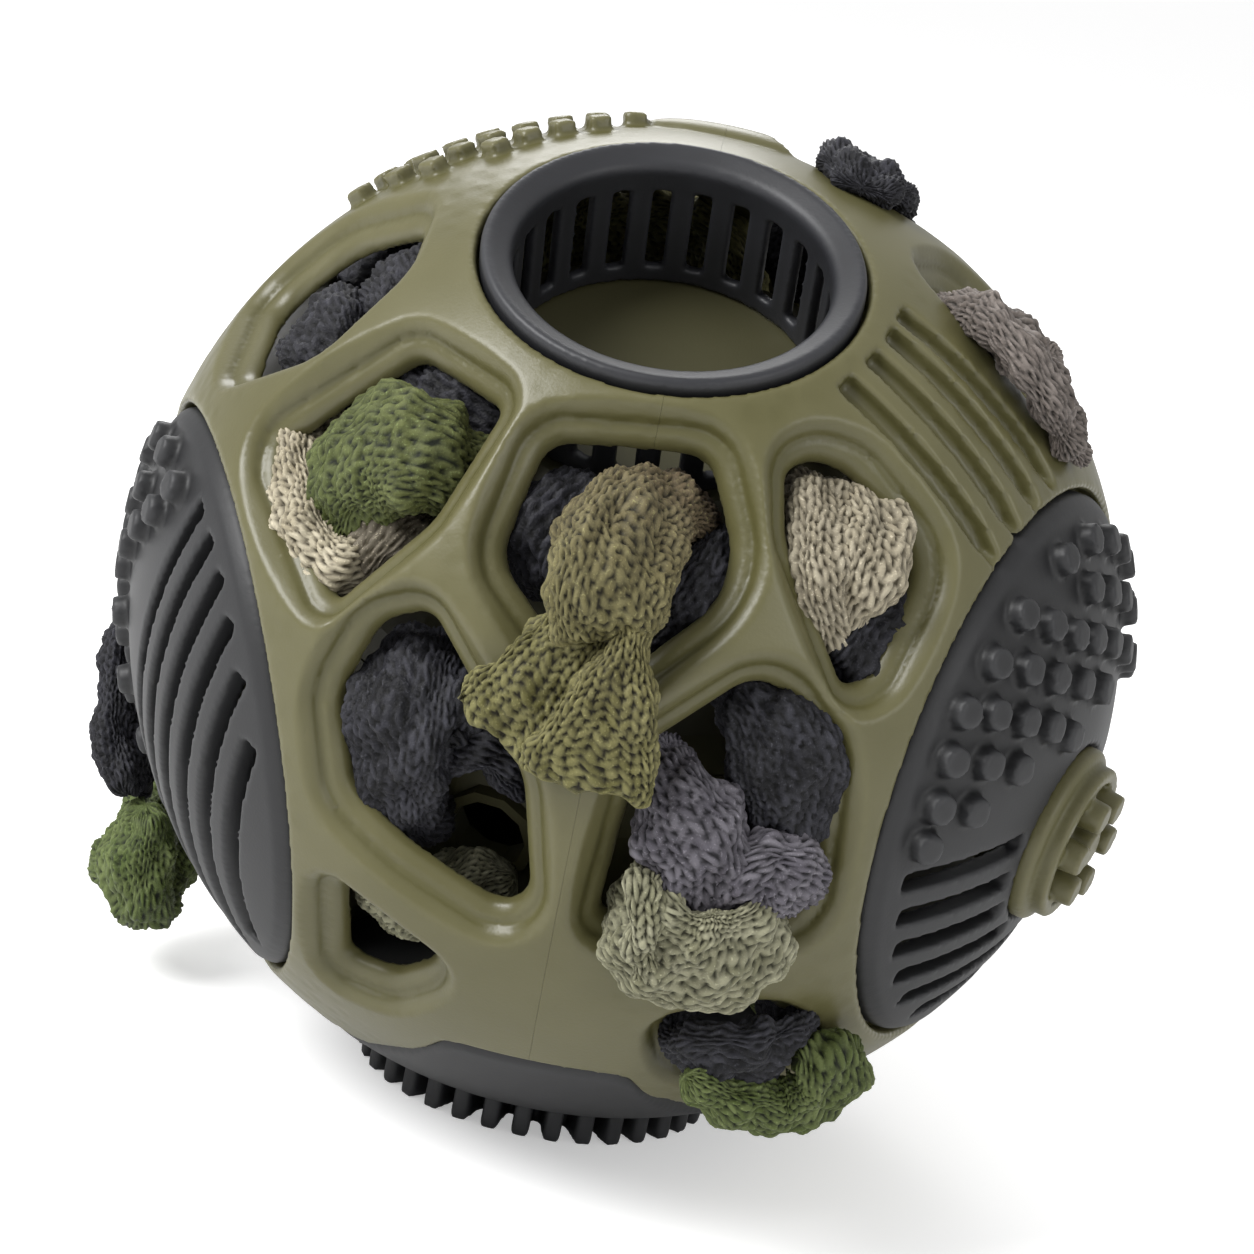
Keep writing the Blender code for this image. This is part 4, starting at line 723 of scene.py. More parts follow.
def disc_studs(place):
    """The studs of one disc, except those where its knob is."""
    knob = knob_on_disc(place)
    shape = bmesh.new()
    for spot in STUDS:
        spot = Vector(spot) / 1000.0
        if knob is not None and (spot - knob).length < KNOB_RADIUS + 1.3 * STUD_RADIUS:
            continue
        stud = bmesh.ops.create_cone(shape, cap_ends=True, segments=20, radius1=STUD_RADIUS,
                                     radius2=STUD_RADIUS * TAPER, depth=STUD_HEIGHT + SUNK)
        level = BALL_RADIUS + (STUD_HEIGHT - SUNK) / 2
        out = Vector((spot.x, spot.y, math.sqrt(BALL_RADIUS ** 2 - spot.length ** 2)))
        stand = out.to_track_quat("Z", "Y").to_matrix().to_4x4()
        bmesh.ops.transform(shape, matrix=stand @ Matrix.Translation((0.0, 0.0, level)),
                            verts=stud["verts"])
    return as_object("studs_" + place, shape, ball_frame(*DISCS[place]))


def disc_vents(place):
    """Cutters for the slots of one disc, broken off around its knob."""
    knob = knob_on_disc(place)
    shape = bmesh.new()
    limit = DISC_RADIUS - VENT_RIM_MARGIN
    clear = KNOB_RADIUS + KNOB_CLEARANCE
    for y in [VENT_FIRST - VENT_PITCH * i for i in range(VENTS)]:
        reach = math.sqrt(limit ** 2 - y ** 2)
        runs = [(-reach, reach)]
        if knob is not None and abs(y - knob.y) < clear:
            half = math.sqrt(clear ** 2 - (y - knob.y) ** 2)
            runs = [(-reach, knob.x - half), (knob.x + half, reach)]
        for start, end in runs:
            add_box(shape, (end - start, VENT_WIDTH, VENT_DEPTH),
                    Matrix.Translation(((start + end) / 2, y, BALL_RADIUS)))
    return as_object("vents_" + place, shape, ball_frame(*DISCS[place]))


for place in DISCS:
    rim = degrees_from_axis(DISC_RADIUS, BALL_RADIUS)
    level = BALL_RADIUS * math.cos(math.radians(rim))
    outline = arc(BALL_RADIUS, 0.0, rim - DISC_EDGE_START, 14)
    outline += [(DISC_RADIUS - inset, level - drop) for inset, drop in DISC_EDGE]
    inner = BALL_RADIUS - DISC_THICKNESS + DISC_LIFT
    outline += arc(inner, degrees_from_axis(DISC_RADIUS, inner), 0.0, 14)
    disc = spun("side_disc_%s_moulding" % place, outline, 96, ball_frame(*DISCS[place]))
    boolean(disc, [disc_studs(place)], "UNION")
    cutters = [disc_vents(place)]
    if place in KNOBS:
        knob_frame = ball_frame(*KNOBS[place])
        hub_floor = KNOB_FLOOR - HUB_FLOOR_PLAY
        pad = cylinder("hub_pad", HUB_PAD_RADIUS, hub_floor, HUB_PAD_BOTTOM, 48, knob_frame)
        boolean(disc, [pad], "UNION")
        cutters += [cylinder("hub_recess", KNOB_RADIUS + HUB_PLAY, HUB_CUT_TOP, hub_floor, 64,
                             knob_frame),
                    cylinder("hub_bore", HUB_BORE_RADIUS, HUB_CUT_TOP, HUB_BORE_BOTTOM, 48,
                             knob_frame)]
    boolean(disc, cutters)
    soften(disc, DISC_GRAIN, DISC_SMOOTHING, DISC_KEEP)
    mark_edges_and_hollow_shade(disc, DISC_EDGE_GAIN)
    disc.data.materials.append(disc_rubber)
    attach(disc, "ball")
    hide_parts("side_disc_" + place)

# Hub knobs: olive rubber knobs that turn on their shanks in the core's bosses, one in the right
# disc and one in the rear disc. The dished face carries a boss and six rounded lugs.
KNOB_HEIGHT = 0.0052
KNOB_STEP = (0.0118, 0.0026)
KNOB_EASE, KNOB_RIM_EASE = 0.0004, 0.0006
KNOB_DISH_RADIUS = 0.0096
KNOB_DISH = 0.0016
KNOB_SHANK_RADIUS, KNOB_SHANK_LENGTH = 0.0050, 0.0190
KNOB_LUGS = 6
KNOB_LUG_CIRCLE = 0.0068
# Radius and height of the boss and of each lug
KNOB_BOSS, KNOB_LUG = (0.0034, 0.0034), (0.0026, 0.0042)
KNOB_ROUGHNESS = 0.42
KNOB_GRAIN, KNOB_SMOOTHING, KNOB_KEEP, KNOB_EDGE_GAIN = 0.00040, 2, 0.80, 14000.0
knob_rubber = moulded_rubber("knob_rubber", SHELL_OLIVE, SHELL_OLIVE_PALE, KNOB_ROUGHNESS)

for place in KNOBS:
    top = KNOB_FLOOR + KNOB_HEIGHT
    dish = top - KNOB_DISH
    step_radius, step_height = KNOB_STEP
    outline = [(0.0, dish), (KNOB_DISH_RADIUS, dish), (KNOB_DISH_RADIUS, top),
               (step_radius - KNOB_EASE, top), (step_radius, top - KNOB_EASE),
               (step_radius, KNOB_FLOOR + step_height + KNOB_EASE),
               (KNOB_RADIUS - KNOB_RIM_EASE, KNOB_FLOOR + step_height),
               (KNOB_RADIUS, KNOB_FLOOR + step_height - KNOB_RIM_EASE), (KNOB_RADIUS, KNOB_FLOOR),
               (KNOB_SHANK_RADIUS, KNOB_FLOOR),
               (KNOB_SHANK_RADIUS, KNOB_FLOOR - KNOB_SHANK_LENGTH),
               (0.0, KNOB_FLOOR - KNOB_SHANK_LENGTH)]
    knob = spun("hub_knob_%s_moulding" % place, outline, 64, ball_frame(*KNOBS[place]))
    lugs = bmesh.new()
    spots = [(*KNOB_BOSS, 0.0, 0.0)]
    for i in range(KNOB_LUGS):
        angle = math.tau * i / KNOB_LUGS
        spots.append((*KNOB_LUG, KNOB_LUG_CIRCLE * math.cos(angle),
                      KNOB_LUG_CIRCLE * math.sin(angle)))
    for radius, height, x, y in spots:
        lug = bmesh.ops.create_cone(lugs, cap_ends=True, segments=24, radius1=radius,
                                    radius2=radius * TAPER, depth=height + SUNK)["verts"]
        bmesh.ops.translate(lugs, vec=(x, y, dish + (height - SUNK) / 2), verts=lug)
    boolean(knob, [as_object("lugs_" + place, lugs, ball_frame(*KNOBS[place]))], "UNION")
    soften(knob, KNOB_GRAIN, KNOB_SMOOTHING, KNOB_KEEP)
    mark_edges_and_hollow_shade(knob, KNOB_EDGE_GAIN)
    knob.data.materials.append(knob_rubber)
    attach(knob, "knob_" + place)
    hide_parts("hub_knob_" + place)

# Foot plate: a dark grey rubber skin with three lobes that reach up between the discs, plugged
# into the core by its stem. A ring of 36 rounded teeth under it grips the floor.
FOOT_FLAT_DEPTH = 0.0672
FOOT_TEETH = 36
FOOT_TOOTH = (0.0090, 0.0027, 0.0083)
FOOT_TOOTH_MIDDLE = 0.0240
FOOT_PAD_RADIUS, FOOT_PAD_TOP = 0.0090, 0.0659
FOOT_STEM_RADIUS, FOOT_STEM_TOP = 0.0060, 0.0496
FOOT_REACH = 0.0575
FOOT_CORNER = 0.004
FOOT_PRISM = (-0.025, -0.079)
FOOT_GRAIN, FOOT_SMOOTHING, FOOT_KEEP, FOOT_EDGE_GAIN = 0.00068, 3, 0.80, 12000.0


def foot_outline_prism(top, bottom):
    """An upright prism on the three-lobed outline of the foot plate."""
    corners = [(radius, math.radians(lobe + offset))
               for lobe in FOOT_LOBE_AZIMUTHS for offset, radius in FOOT_OUTLINE]
    shape = rounded_face([(radius * math.cos(angle), radius * math.sin(angle), bottom)
                          for radius, angle in corners], FOOT_CORNER)
    raised(shape, top - bottom)
    bmesh.ops.triangulate(shape, faces=shape.faces)
    return as_object("foot_outline", shape, ball_place)


inner_foot = BALL_RADIUS - FOOT_SKIN
flat_reach = math.sqrt(BALL_RADIUS ** 2 - FOOT_FLAT_DEPTH ** 2)
inner_flat = FOOT_FLAT_DEPTH - FOOT_SKIN
inner_reach = math.sqrt(inner_foot ** 2 - inner_flat ** 2)
foot_skin = [(0.0, -inner_flat)]
foot_skin += arc(inner_foot, 180.0 - degrees_from_axis(inner_reach, inner_foot),
                 180.0 - degrees_from_axis(FOOT_REACH, inner_foot), 12)
foot_skin += arc(BALL_RADIUS, 180.0 - degrees_from_axis(FOOT_REACH, BALL_RADIUS),
                 180.0 - degrees_from_axis(flat_reach, BALL_RADIUS), 12)
foot_skin += [(0.0, -FOOT_FLAT_DEPTH)]
foot = spun("foot_plate_moulding", foot_skin, 96, ball_place)
boolean(foot, [foot_outline_prism(*FOOT_PRISM)], "INTERSECT")
foot_pad = cylinder("foot_pad", FOOT_PAD_RADIUS, -FOOT_PAD_TOP, -BALL_CENTRE.z, 48, ball_place)
foot_stem = cylinder("foot_stem", FOOT_STEM_RADIUS, -FOOT_STEM_TOP, -FOOT_PAD_TOP, 48, ball_place)
teeth = bmesh.new()
tooth_place = Matrix.Translation((FOOT_TOOTH_MIDDLE, 0.0, FOOT_TOOTH[2] / 2))
for i in range(FOOT_TEETH):
    turn = Matrix.Rotation(math.tau * (i + 0.5) / FOOT_TEETH, 4, "Z")
    add_box(teeth, FOOT_TOOTH, turn @ tooth_place)
boolean(foot, [foot_pad, foot_stem, as_object("teeth", teeth)], "UNION")
soften(foot, FOOT_GRAIN, FOOT_SMOOTHING, FOOT_KEEP)
mark_edges_and_hollow_shade(foot, FOOT_EDGE_GAIN)
foot.data.materials.append(disc_rubber)
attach(foot, "ball")
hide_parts("foot_plate")

# Cloth strips: knitted cotton strips, knotted round the struts and pushed through the windows.
# Each is a bunched band whose stitches run along it in columns of slanted legs; its ends are
# tucked in against the core, or end in a round corded hem.
STITCH_WIDTH = 0.0022
STITCH_LENGTH = 0.0014
STITCH_RELIEF, STITCH_LEVEL = 0.00075, 0.6
STRIP_SIDES = 32
# Powers that square a band's oval section, across it and through it
STRIP_SQUARING = (0.85, 0.75)
YARN_CLOUD, YARN_FIBRE, YARN_FUZZ = 150.0, 2600.0, 0.00022
# Step out and size of the rings that round an end, as shares of the last ring's thickness
STRIP_ENDS = ((0.30, 0.78), (0.42, 0.40))
FOLD_DEPTH, RIPPLE_DEPTH = 0.00085, 0.00045
STRIP_STEP = 0.0013
# Width of a strip laid flat, over the width of the bunched band
GATHER = 1.2


def knitted_cotton(name, yarn, shade, second, dye):
    """Cotton knit: painted shade between the stitches, uneven from stitch to stitch, with painted
    glints.
    """
    cotton, shader = new_material(name)
    tree = shader.id_data
    place = add_node(tree, "TexCoord", {})["Object"]
    uneven = add_node(tree, "Math", {0: attribute(tree, "stitch_tone"), 1: 0.45,
                                     2: noise(tree, place, YARN_CLOUD, 4.0)},
                      operation="MULTIPLY_ADD")["Value"]
    fibre = noise(tree, place, YARN_FIBRE, 4.0)
    tint = mixed(tree, ranged(tree, uneven, {"From Min": 0.45, "From Max": 1.05}), yarn, second)
    tint = mixed(tree, attribute(tree, "dyed"), tint, dye)
    # Painted glints: where the fibre noise is high the colour turns to a brighter copy of the
    # lighter strand, standing in for highlights on the fibres
    painted_glint = tuple(min(1.0, 1.5 * part + 0.012) for part in second[:3]) + (1.0,)
    tint = mixed(tree, ranged(tree, fibre, {"From Min": 0.58, "From Max": 0.80}), tint, painted_glint)
    # Painted shade: the colour sinks to the yarn's shade where the stitch crown is low, in the
    # gaps between stitches
    crown = ranged(tree, attribute(tree, "stitch_crown"), {"From Min": 0.05, "From Max": 0.80})
    bump = add_node(tree, "Bump", {"Height": fibre, "Strength": 0.9,
                                   "Distance": YARN_FUZZ})["Normal"]
    feed(shader, {"Base Color": mixed(tree, crown, shade, tint), "Normal": bump,
                  "Roughness": 0.60, "Specular IOR Level": 0.28, "Sheen Weight": 0.03,
                  "Sheen Roughness": 0.40})
    return cotton


def through(values, steps):
    """Even steps along a smooth line through rows of values."""
    padded = np.vstack([2 * values[0] - values[1], values, 2 * values[-1] - values[-2]])
    rows = []
    for i in range(len(values) - 1):
        before, here, after, later = padded[i:i + 4]
        for t in np.arange(steps[i]) / steps[i]:
            rows.append(here + 0.5 * t * (after - before + t * (
                2 * before - 5 * here + 4 * after - later + t * (
                    3 * (here - after) + later - before))))
    return np.array(rows + [values[-1]])


def strip_cage(shape, stations, dyes):
    """A closed band of even rings along the route, with its stitch columns and rows as UV."""
    knit = shape.loops.layers.uv.verify()
    dyed = shape.verts.layers.float.get("dyed") or shape.verts.layers.float.new("dyed")
    values = np.array([(*(toward(azimuth, elevation) * reach), width, thickness,
                        *(extra or (0.0,)))
                       for azimuth, elevation, reach, width, thickness, *extra in stations])
    values[:, :5] /= 1000.0
    lengths = np.linalg.norm(np.diff(values[:, :3], axis=0), axis=1)
    values = through(values, np.maximum(2, np.round(lengths / STRIP_STEP)).astype(int))
    route = [Vector(row[:3]) for row in values]
    rows = [0.0]
    for here, after in zip(route, route[1:]):
        rows.append(rows[-1] + (after - here).length / STITCH_LENGTH)
    middle = len(route) // 2
    last = len(route) - 1
    alongs = [(route[min(i + 1, last)] - route[max(i - 1, 0)]).normalized()
              for i in range(len(route))]
    sides = {middle: alongs[middle].cross(route[middle]).normalized()}
    for order in (range(middle + 1, last + 1), range(middle - 1, -1, -1)):
        for i in order:
            side = sides[i - 1 if i > middle else i + 1]
            sides[i] = (side - alongs[i] * side.dot(alongs[i])).normalized()
    girth = 2.0 * float(np.mean(values[:, 3] + values[:, 4]))
    columns = max(4, round(girth / STITCH_WIDTH))
    rings = []
    for i, row in enumerate(values):
        side = Matrix.Rotation(math.radians(row[5]), 3, alongs[i]) @ sides[i]
        thick = side.cross(alongs[i])
        ring = []
        for k in range(STRIP_SIDES):
            angle = math.tau * k / STRIP_SIDES
            across, deep = math.cos(angle), math.sin(angle)
            across = math.copysign(abs(across) ** STRIP_SQUARING[0], across)
            deep = math.copysign(abs(deep) ** STRIP_SQUARING[1], deep)
            ring.append((side * (across * row[3] / 2), thick * (deep * row[4] / 2)))
        rings.append((route[i], ring, rows[i], dyes[0] + (dyes[1] - dyes[0]) * i / last))
    for end, sign in ((0, -1.0), (-1, 1.0)):
        centre, ring, row, dye = rings[end]
        thin = values[end][4]
        for share, squeeze in STRIP_ENDS:
            inset = thin * (1.0 - squeeze) / 2
            closer = [(a * max(0.1, 1.0 - inset / max(a.length, inset)), b * squeeze)
                      for a, b in ring]
            closing = (centre + alongs[end] * sign * thin * share, closer,
                       row + sign * thin * share / STITCH_LENGTH, dye)
            rings.insert(0 if end == 0 else len(rings), closing)
    loops = []
    for centre, ring, row, dye in rings:
        loop = [shape.verts.new(BALL_CENTRE + centre + a + b) for a, b in ring]
        for corner in loop:
            corner[dyed] = dye
        loops.append((loop, row))
    for (loop, row), (after, next_row) in zip(loops, loops[1:]):
        for k in range(STRIP_SIDES):
            turn = (k + 1) % STRIP_SIDES
            face = shape.faces.new((loop[k], loop[turn], after[turn], after[k]))
            corners = ((k, row), (k + 1, row), (k + 1, next_row), (k, next_row))
            for spot, (column, line) in zip(face.loops, corners):
                spot[knit].uv = (columns * column / STRIP_SIDES, line)
    for loop, row in (loops[0], loops[-1]):
        for spot, k in zip(shape.faces.new(loop).loops, range(STRIP_SIDES)):
            spot[knit].uv = (columns * k / STRIP_SIDES, row)
    return rows[-1] * STITCH_LENGTH, girth / 2


def stitches_at(columns, rows):
    """Height and tone, 0 to 1, over uneven stocking stitch: two slanted legs to each stitch."""
    column = columns + 0.10 * np.sin(0.9 * rows + 0.7 * columns) + 0.07 * np.sin(2.3 * rows)
    row = rows + 0.22 * np.sin(1.3 * columns + 0.25 * rows) + 0.12 * np.sin(3.1 * columns)
    across = np.abs(column - np.floor(column) - 0.5) * 2.0
    slanted = row + 0.80 * across
    cell = np.floor(slanted) * 12.9898 + np.floor(column * 2.0) * 78.233
    size = np.abs(np.sin(cell) * 43758.5453) % 1.0
    tone = np.abs(np.sin(cell * 1.7 + 4.1) * 24634.6345) % 1.0
    leg = (across - 0.5) * (2.05 - 0.3 * size)
    along = (slanted - np.floor(slanted) - 0.5) * (2.0 - 0.2 * tone)
    height = np.clip(1.0 - np.abs(leg) ** 2.2 - np.abs(along) ** 2.4, 0.0, 1.0)
    return np.sqrt(height) * (0.72 + 0.28 * size), tone


def crumple(points):
    """Soft folds in bunched cloth, as a few slow waves through its place on the ball."""
    x, y, z = (points * 1000.0).T
    waves = (np.sin(0.55 * x + 0.31 * y + 1.3) * np.sin(0.43 * z - 0.22 * x) +
             0.6 * np.sin(0.81 * y - 0.47 * z + 0.6) * np.sin(0.66 * x + 0.9))
    ripple = np.sin(1.1 * x + 0.9 * z) * np.sin(1.3 * y - 0.6 * x + 2.0)
    return waves * FOLD_DEPTH + ripple * RIPPLE_DEPTH


def knitted_piece(name, node, cotton, routes):
    """One cloth piece: a band per route, made smooth and then given folds and raised stitches."""
    shape = bmesh.new()
    area, widest = 0.0, 0.0
    for dyes, stations in routes:
        length, width = strip_cage(shape, stations, dyes)
        area += GATHER * width * length
        widest = max(widest, GATHER * width)
    piece = as_object(name, shape)
    rounding = piece.modifiers.new("rounding", "SUBSURF")
    rounding.levels = rounding.render_levels = 2
    rounding.uv_smooth = "NONE"
    settle(piece)
    mesh = piece.data
    points = read(mesh.vertices, "co", 3)
    normals = read(mesh.vertex_normals, "vector", 3)
    stitches = np.zeros((len(points), 2))
    stitches[read(mesh.loops, "vertex_index", 1, np.int32)[:, 0]] = read(
        mesh.uv_layers[0].uv, "vector", 2)
    crown, tone = stitches_at(*stitches.T)
    points += normals * ((crown - STITCH_LEVEL) * STITCH_RELIEF + crumple(points))[:, None]
    mesh.vertices.foreach_set("co", points.ravel())
    store(mesh, "stitch_crown", crown)
    store(mesh, "stitch_tone", tone)
    mesh.update()
    mesh.shade_smooth()
    mesh.materials.append(cotton)
    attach(piece, "ball")
    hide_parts(node)


# Colour, shade between stitches, lighter strand and second dye of each yarn
YARNS = {
    "charcoal": ((0.0050, 0.0050, 0.0070, 1.0), (0.0004, 0.0004, 0.0006, 1.0),
                 (0.038, 0.038, 0.048, 1.0), (0.0050, 0.0050, 0.0070, 1.0)),
    "lilac_grey": ((0.098, 0.090, 0.108, 1.0), (0.012, 0.011, 0.014, 1.0),
                   (0.200, 0.188, 0.212, 1.0), (0.018, 0.018, 0.023, 1.0)),
    "sage": ((0.190, 0.186, 0.112, 1.0), (0.026, 0.025, 0.012, 1.0),
             (0.330, 0.322, 0.220, 1.0), (0.190, 0.186, 0.112, 1.0)),
    "cream": ((0.330, 0.288, 0.198, 1.0), (0.052, 0.042, 0.024, 1.0),
              (0.500, 0.450, 0.335, 1.0), (0.130, 0.112, 0.085, 1.0)),
    "olive_cloth": ((0.108, 0.101, 0.030, 1.0), (0.012, 0.010, 0.003, 1.0),
                    (0.210, 0.196, 0.080, 1.0), (0.118, 0.078, 0.058, 1.0)),
    "moss": ((0.064, 0.092, 0.019, 1.0), (0.006, 0.009, 0.002, 1.0),
             (0.140, 0.176, 0.060, 1.0), (0.085, 0.080, 0.026, 1.0)),
    "taupe": ((0.118, 0.098, 0.086, 1.0), (0.016, 0.013, 0.010, 1.0),
              (0.215, 0.186, 0.168, 1.0), (0.118, 0.098, 0.086, 1.0)),
}
COTTONS = {name: knitted_cotton(name + "_cotton", *tones) for name, tones in YARNS.items()}

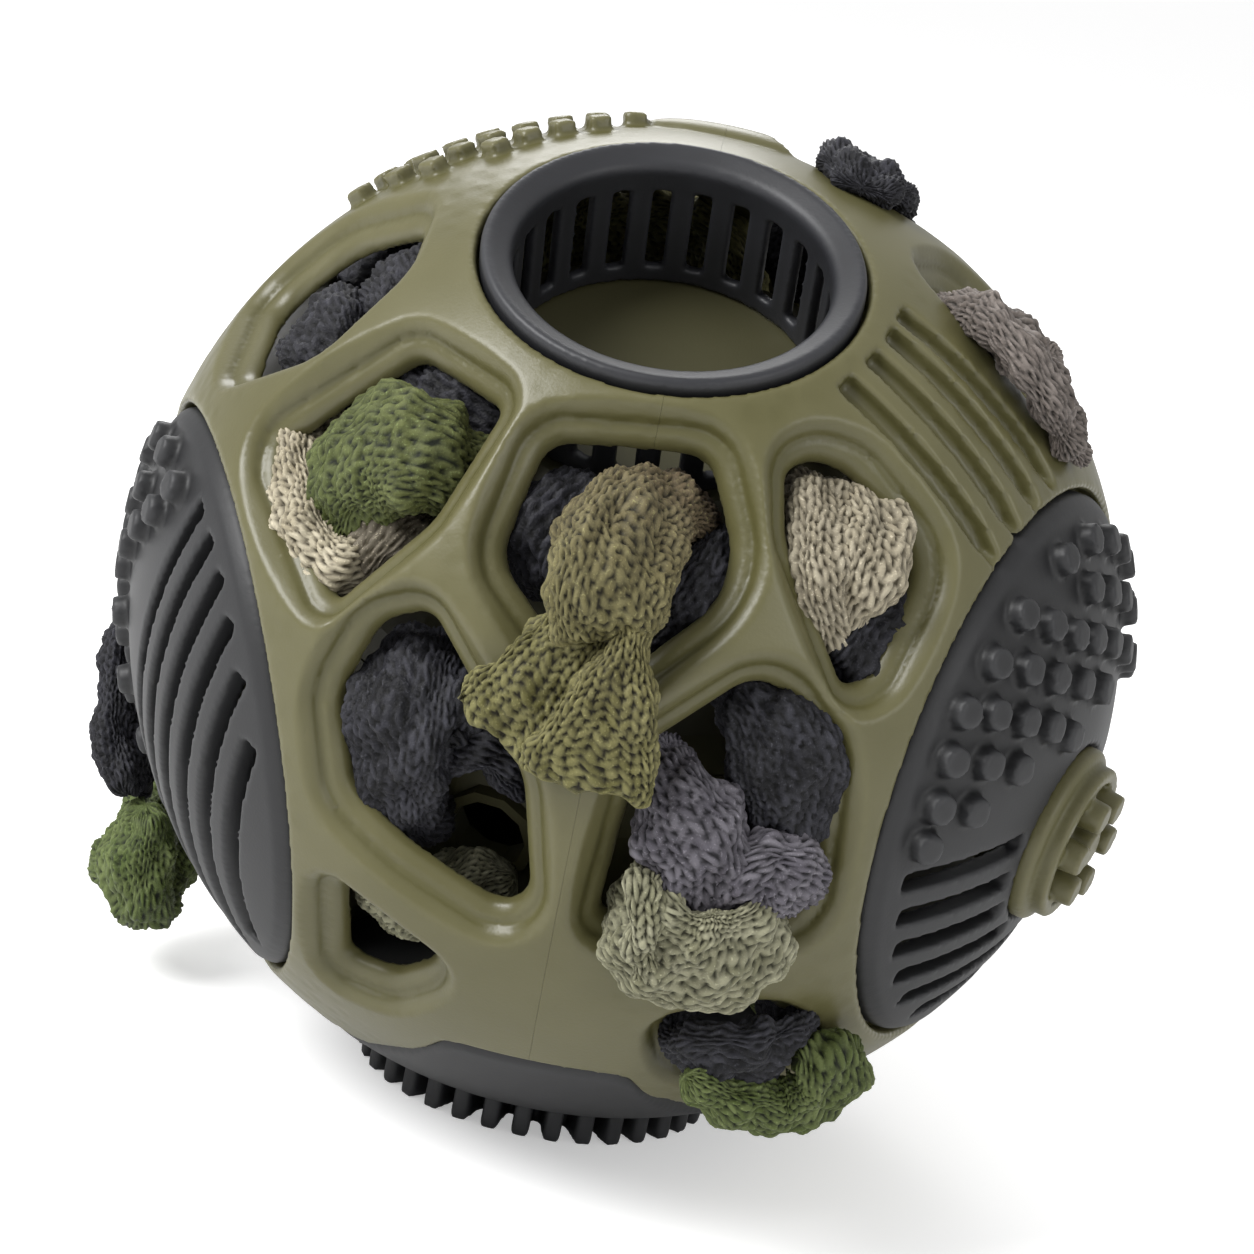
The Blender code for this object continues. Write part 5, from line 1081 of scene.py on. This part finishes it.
# Yarn of each strip, and its bands with the dye at both ends and stations of azimuth, elevation,
# radius, width and thickness, in degrees and millimetres
STRIPS = {
    "olive_knot": ("olive_cloth", [
        ((1.0, 0.15), [(-77, 28, 55.6, 7, 5), (-79.5, 29, 62, 9, 7), (-83, 27.5, 70, 12, 8),
         (-86, 24, 76.5, 15, 8.5), (-86.3, 19, 79.8, 17.5, 8), (-86.6, 16, 80.6, 16.5, 6.5),
         (-86.6, 13.4, 79.6, 12.5, 4)]),
        ((0.1, 0.0), [(-87.2, 15, 77, 6, 2.6), (-89, 12.1, 77.4, 9, 3.2),
         (-91.3, 8.5, 78, 12, 3.8), (-93.2, 4.7, 77.8, 14, 3.2), (-94.6, 1.8, 77.2, 15, 2.4)]),
        ((0.2, 0.0), [(-85, 15.4, 78, 4, 3.2), (-84, 12.5, 79.8, 5.5, 4.4),
         (-84.1, 8.4, 80.6, 10.5, 4.6), (-84.6, 4, 80.4, 14.5, 3.8),
         (-85, -0.7, 79.4, 18, 2.6)])]),
    "charcoal_front_left": ("charcoal", [
        ((0, 0), [(-93, 29.5, 58, 8, 6), (-94, 26.5, 64.5, 12, 8), (-96.5, 22, 65, 13, 9),
         (-96.5, 17, 58, 9, 6)])]),
    "charcoal_front_right": ("charcoal", [
        ((0, 0), [(-71, 26.5, 58.5, 8, 6), (-73.5, 22, 65, 12, 9), (-77, 16.5, 65, 12, 9),
         (-81.5, 9, 58.8, 8, 6)])]),
    "moss_band": ("moss", [
        ((0.1, 0.75), [(-128.5, 13.5, 60, 6, 5), (-124.5, 17, 67, 10, 7),
         (-122.5, 21.5, 70.3, 15.5, 9), (-118.5, 25.5, 71.3, 18, 9),
         (-113.5, 26.5, 70.3, 16.5, 9), (-111.5, 26.5, 66, 13, 8), (-109, 27, 58, 9, 6)])]),
    "cream_loop": ("cream", [
        ((0, 0), [(-138, 27, 59, 6, 5), (-139.5, 24, 66.5, 8, 7), (-133, 19, 68.8, 8.5, 7),
         (-127, 14.5, 69, 9, 7), (-122, 11.5, 68.5, 9.5, 7), (-120, 12, 66, 8, 6),
         (-119, 14, 59, 6, 5)]),
        ((0.9, 0.9), [(-120, 20.5, 58, 7, 5), (-117.5, 18, 65, 9, 7), (-118.5, 15, 66, 9.5, 7),
         (-123.5, 11, 60, 7, 5)])]),
    "charcoal_behind_moss": ("charcoal", [
        ((0, 0), [(-126, 37, 58, 8, 6), (-123.5, 35, 64.5, 10.5, 8),
         (-115, 33.5, 64.5, 12, 8), (-111.5, 32.5, 58, 9, 6)])]),
    "charcoal_crumple_left": ("charcoal", [
        ((0, 0), [(-110.5, 5, 58.5, 9, 6), (-108.5, 2.5, 66, 14, 8),
         (-107.5, -3, 68.5, 16.5, 9), (-108, -9.5, 67, 14, 9), (-108, -16.5, 64, 11, 8),
         (-109, -18.5, 58, 9, 6)])]),
    "charcoal_crumple_right": ("charcoal", [
        ((0, 0), [(-103.5, 3.5, 58.5, 7, 6), (-102, 1, 65.5, 8.5, 7),
         (-102.5, -4.5, 64.5, 8, 7), (-98, -4.5, 64.5, 6.5, 5.5), (-94, -9.5, 58.5, 6, 5)])]),
    "charcoal_strip": ("charcoal", [
        ((0, 0), [(-67.5, 11, 58.5, 9, 6), (-67, 8.5, 66.5, 12.5, 8), (-64.5, 4.5, 69.5, 16, 9),
         (-62.7, -1, 69.5, 15.5, 9), (-62.3, -7, 67.5, 11, 8), (-60, -12, 59, 7, 6)])]),
    "lilac_knot": ("lilac_grey", [
        ((0.35, 0), [(-77.1, -2, 58, 5, 5), (-76.5, -1.5, 68, 9, 8),
         (-74, -5, 72.5, 15.5, 10), (-71.8, -9, 73.8, 13.5, 9), (-70.6, -14.5, 72.5, 8.5, 7),
         (-69.2, -20.5, 70, 6, 5)]),
        ((0, 0), [(-69.5, -18, 70.5, 6, 6), (-68.4, -12.4, 73.5, 10.5, 8),
         (-65.2, -9.2, 74.4, 12, 8), (-60.8, -10.6, 73.2, 10.5, 7), (-57, -15.5, 65.5, 8, 6)])]),
    "sage_wrap": ("sage", [
        ((0, 0), [(-78, -15, 69, 10, 3), (-76.6, -16, 77.6, 14, 3.6), (-73, -17.8, 78.8, 17, 3.8),
         (-69.2, -18, 79.2, 17.5, 3.8), (-66, -16.8, 78.9, 16.5, 3.8),
         (-63.4, -15, 77.3, 13.5, 3.4), (-61.5, -13.8, 69, 10, 3)]),
        ((0, 0), [(-76.8, -11, 72, 3.5, 3), (-77.6, -11.2, 78.6, 4.6, 3.4),
         (-76.8, -15.5, 80.2, 4.8, 3.2), (-75.2, -20, 79.4, 4.2, 2.6)])]),
    "charcoal_lower": ("charcoal", [
        ((0, 0), [(-66.5, -34, 61, 7, 4), (-65, -36.5, 73, 10.5, 5), (-62.5, -32.5, 78, 12, 5.5),
         (-58, -31.5, 78.2, 12, 5.5), (-51.5, -32.5, 74, 10, 5), (-50, -32, 62, 7, 4)])]),
    "moss_lower": ("moss", [
        ((0.2, 0.1), [(-47.5, -36.5, 61, 7, 5), (-47, -35, 73.5, 9, 5),
         (-49, -30.5, 79.8, 11, 5), (-48.5, -34, 82, 12, 6), (-52.5, -37.5, 82.2, 10.5, 6),
         (-59.5, -36.5, 81.5, 8, 5.5), (-64.5, -35.5, 79.6, 5, 4)])]),
    "beige_knot": ("cream", [
        ((0.5, 0.25), [(-59, 35.5, 58.5, 7, 5), (-61, 32.3, 67, 8, 7), (-63, 26.5, 70, 9, 8),
         (-62.6, 21.4, 70.4, 8.5, 8), (-60, 18, 67.5, 6.5, 6), (-59.5, 16, 59, 5, 5)]),
        ((0.3, 0.2), [(-53.5, 34, 60, 6, 5), (-55.3, 31, 68.5, 9, 7),
         (-55.6, 27.2, 71, 11, 8), (-57.2, 23, 71.4, 10.5, 8), (-58.6, 19.3, 68.5, 7.5, 6),
         (-59, 17, 60, 5, 4)])]),
    "charcoal_under_beige": ("charcoal", [
        ((0, 0), [(-45.5, 24, 58.5, 6, 6), (-49, 21.4, 65, 10, 6.5), (-53.6, 17.6, 67.6, 11.5, 7),
         (-56, 14, 67, 10, 6.5), (-57.5, 11.5, 59, 7, 5)])]),
    "charcoal_fold_left": ("charcoal", [
        ((0, 0), [(-164, 36, 58, 10, 6), (-155, 36, 65.5, 15, 9), (-146, 34, 65.5, 14, 9),
         (-137, 30, 58, 9, 6)])]),
    "charcoal_fold_right": ("charcoal", [
        ((0, 0), [(-158, 49, 58, 9, 6), (-149, 47, 65, 14, 9), (-140, 44.5, 65.5, 13, 9),
         (-132, 41, 58, 9, 6)])]),
    "sage_lump": ("sage", [
        ((0, 0), [(-118, -34, 58.6, 8, 6), (-111, -31, 63.5, 12, 9), (-104, -28.5, 63, 11, 9),
         (-96.5, -26.5, 59, 8, 6)])]),
    "taupe_strip": ("taupe", [
        ((0, 0), [(-14, 60, 57, 9, 5), (-16, 55, 68, 12, 7), (-23, 51, 76.8, 14, 6.5),
         (-26, 46, 79.6, 14.5, 6), (-24.5, 42, 79.6, 13, 5.5), (-20.5, 38.5, 78, 10, 4.5),
         (-16, 35.5, 76.6, 6, 3)])]),
    "charcoal_lump": ("charcoal", [
        ((0, 0), [(54, 66, 60, 18, 8), (38, 68, 67.5, 20, 9), (20, 71.5, 75.5, 15, 6.5),
         (-2, 74, 77.2, 15, 5.5), (-16, 73, 76.8, 10, 4)])]),
    "moss_hanging": ("moss", [
        ((0, 0), [(148, -16, 55.7, 9, 6), (150, -19, 70, 11, 8), (155, -27, 80, 13, 9),
         (164, -36.5, 88, 15, 11), (174, -40.5, 91.5, 15.5, 12), (181, -41, 90.5, 15, 11),
         (182, -36, 84.5, 12, 8)])]),
    "charcoal_hanging": ("charcoal", [
        ((0, 0), [(154, 9, 56.1, 9, 6), (157, 8, 70.5, 10, 7), (161, 3.5, 79, 11, 6),
         (165, -4, 79.6, 12, 6), (170.5, -14, 81, 13, 6), (176, -24, 83.8, 14, 7),
         (179.5, -30.5, 84.5, 12, 7)])]),
    "taupe_rear_knot": ("taupe", [
        ((0, 0), [(28, 14, 58.5, 9, 6), (34, 12, 67, 13, 9), (40, 9, 70, 15, 11),
         (47, 7, 66, 12, 8), (53, 6, 57.5, 9, 6)])]),
    "sage_rear_fold": ("sage", [
        ((0, 0), [(25, -14, 57.7, 9, 6), (33, -17, 65, 12, 8), (42, -19, 65.5, 12, 8),
         (52, -18, 57.7, 9, 6)])]),
    "olive_rear_fold": ("olive_cloth", [
        ((0, 0), [(80, 55, 58, 14, 7), (87, 56, 65, 23, 8), (98, 53, 67, 25, 9),
         (110, 53, 67, 26, 10), (122, 50, 66.5, 26, 9), (130, 48, 64, 20, 7),
         (135, 47, 58, 12, 7)])]),
    "charcoal_rear_fold": ("charcoal", [
        ((0, 0), [(180, 44, 58, 14, 7), (168, 43, 66, 23, 10), (156, 44, 67, 24, 10),
         (144, 43, 58, 14, 7)])]),
}
for name, (yarn, routes) in STRIPS.items():
    knitted_piece(name, "cloth_" + name, COTTONS[yarn], routes)
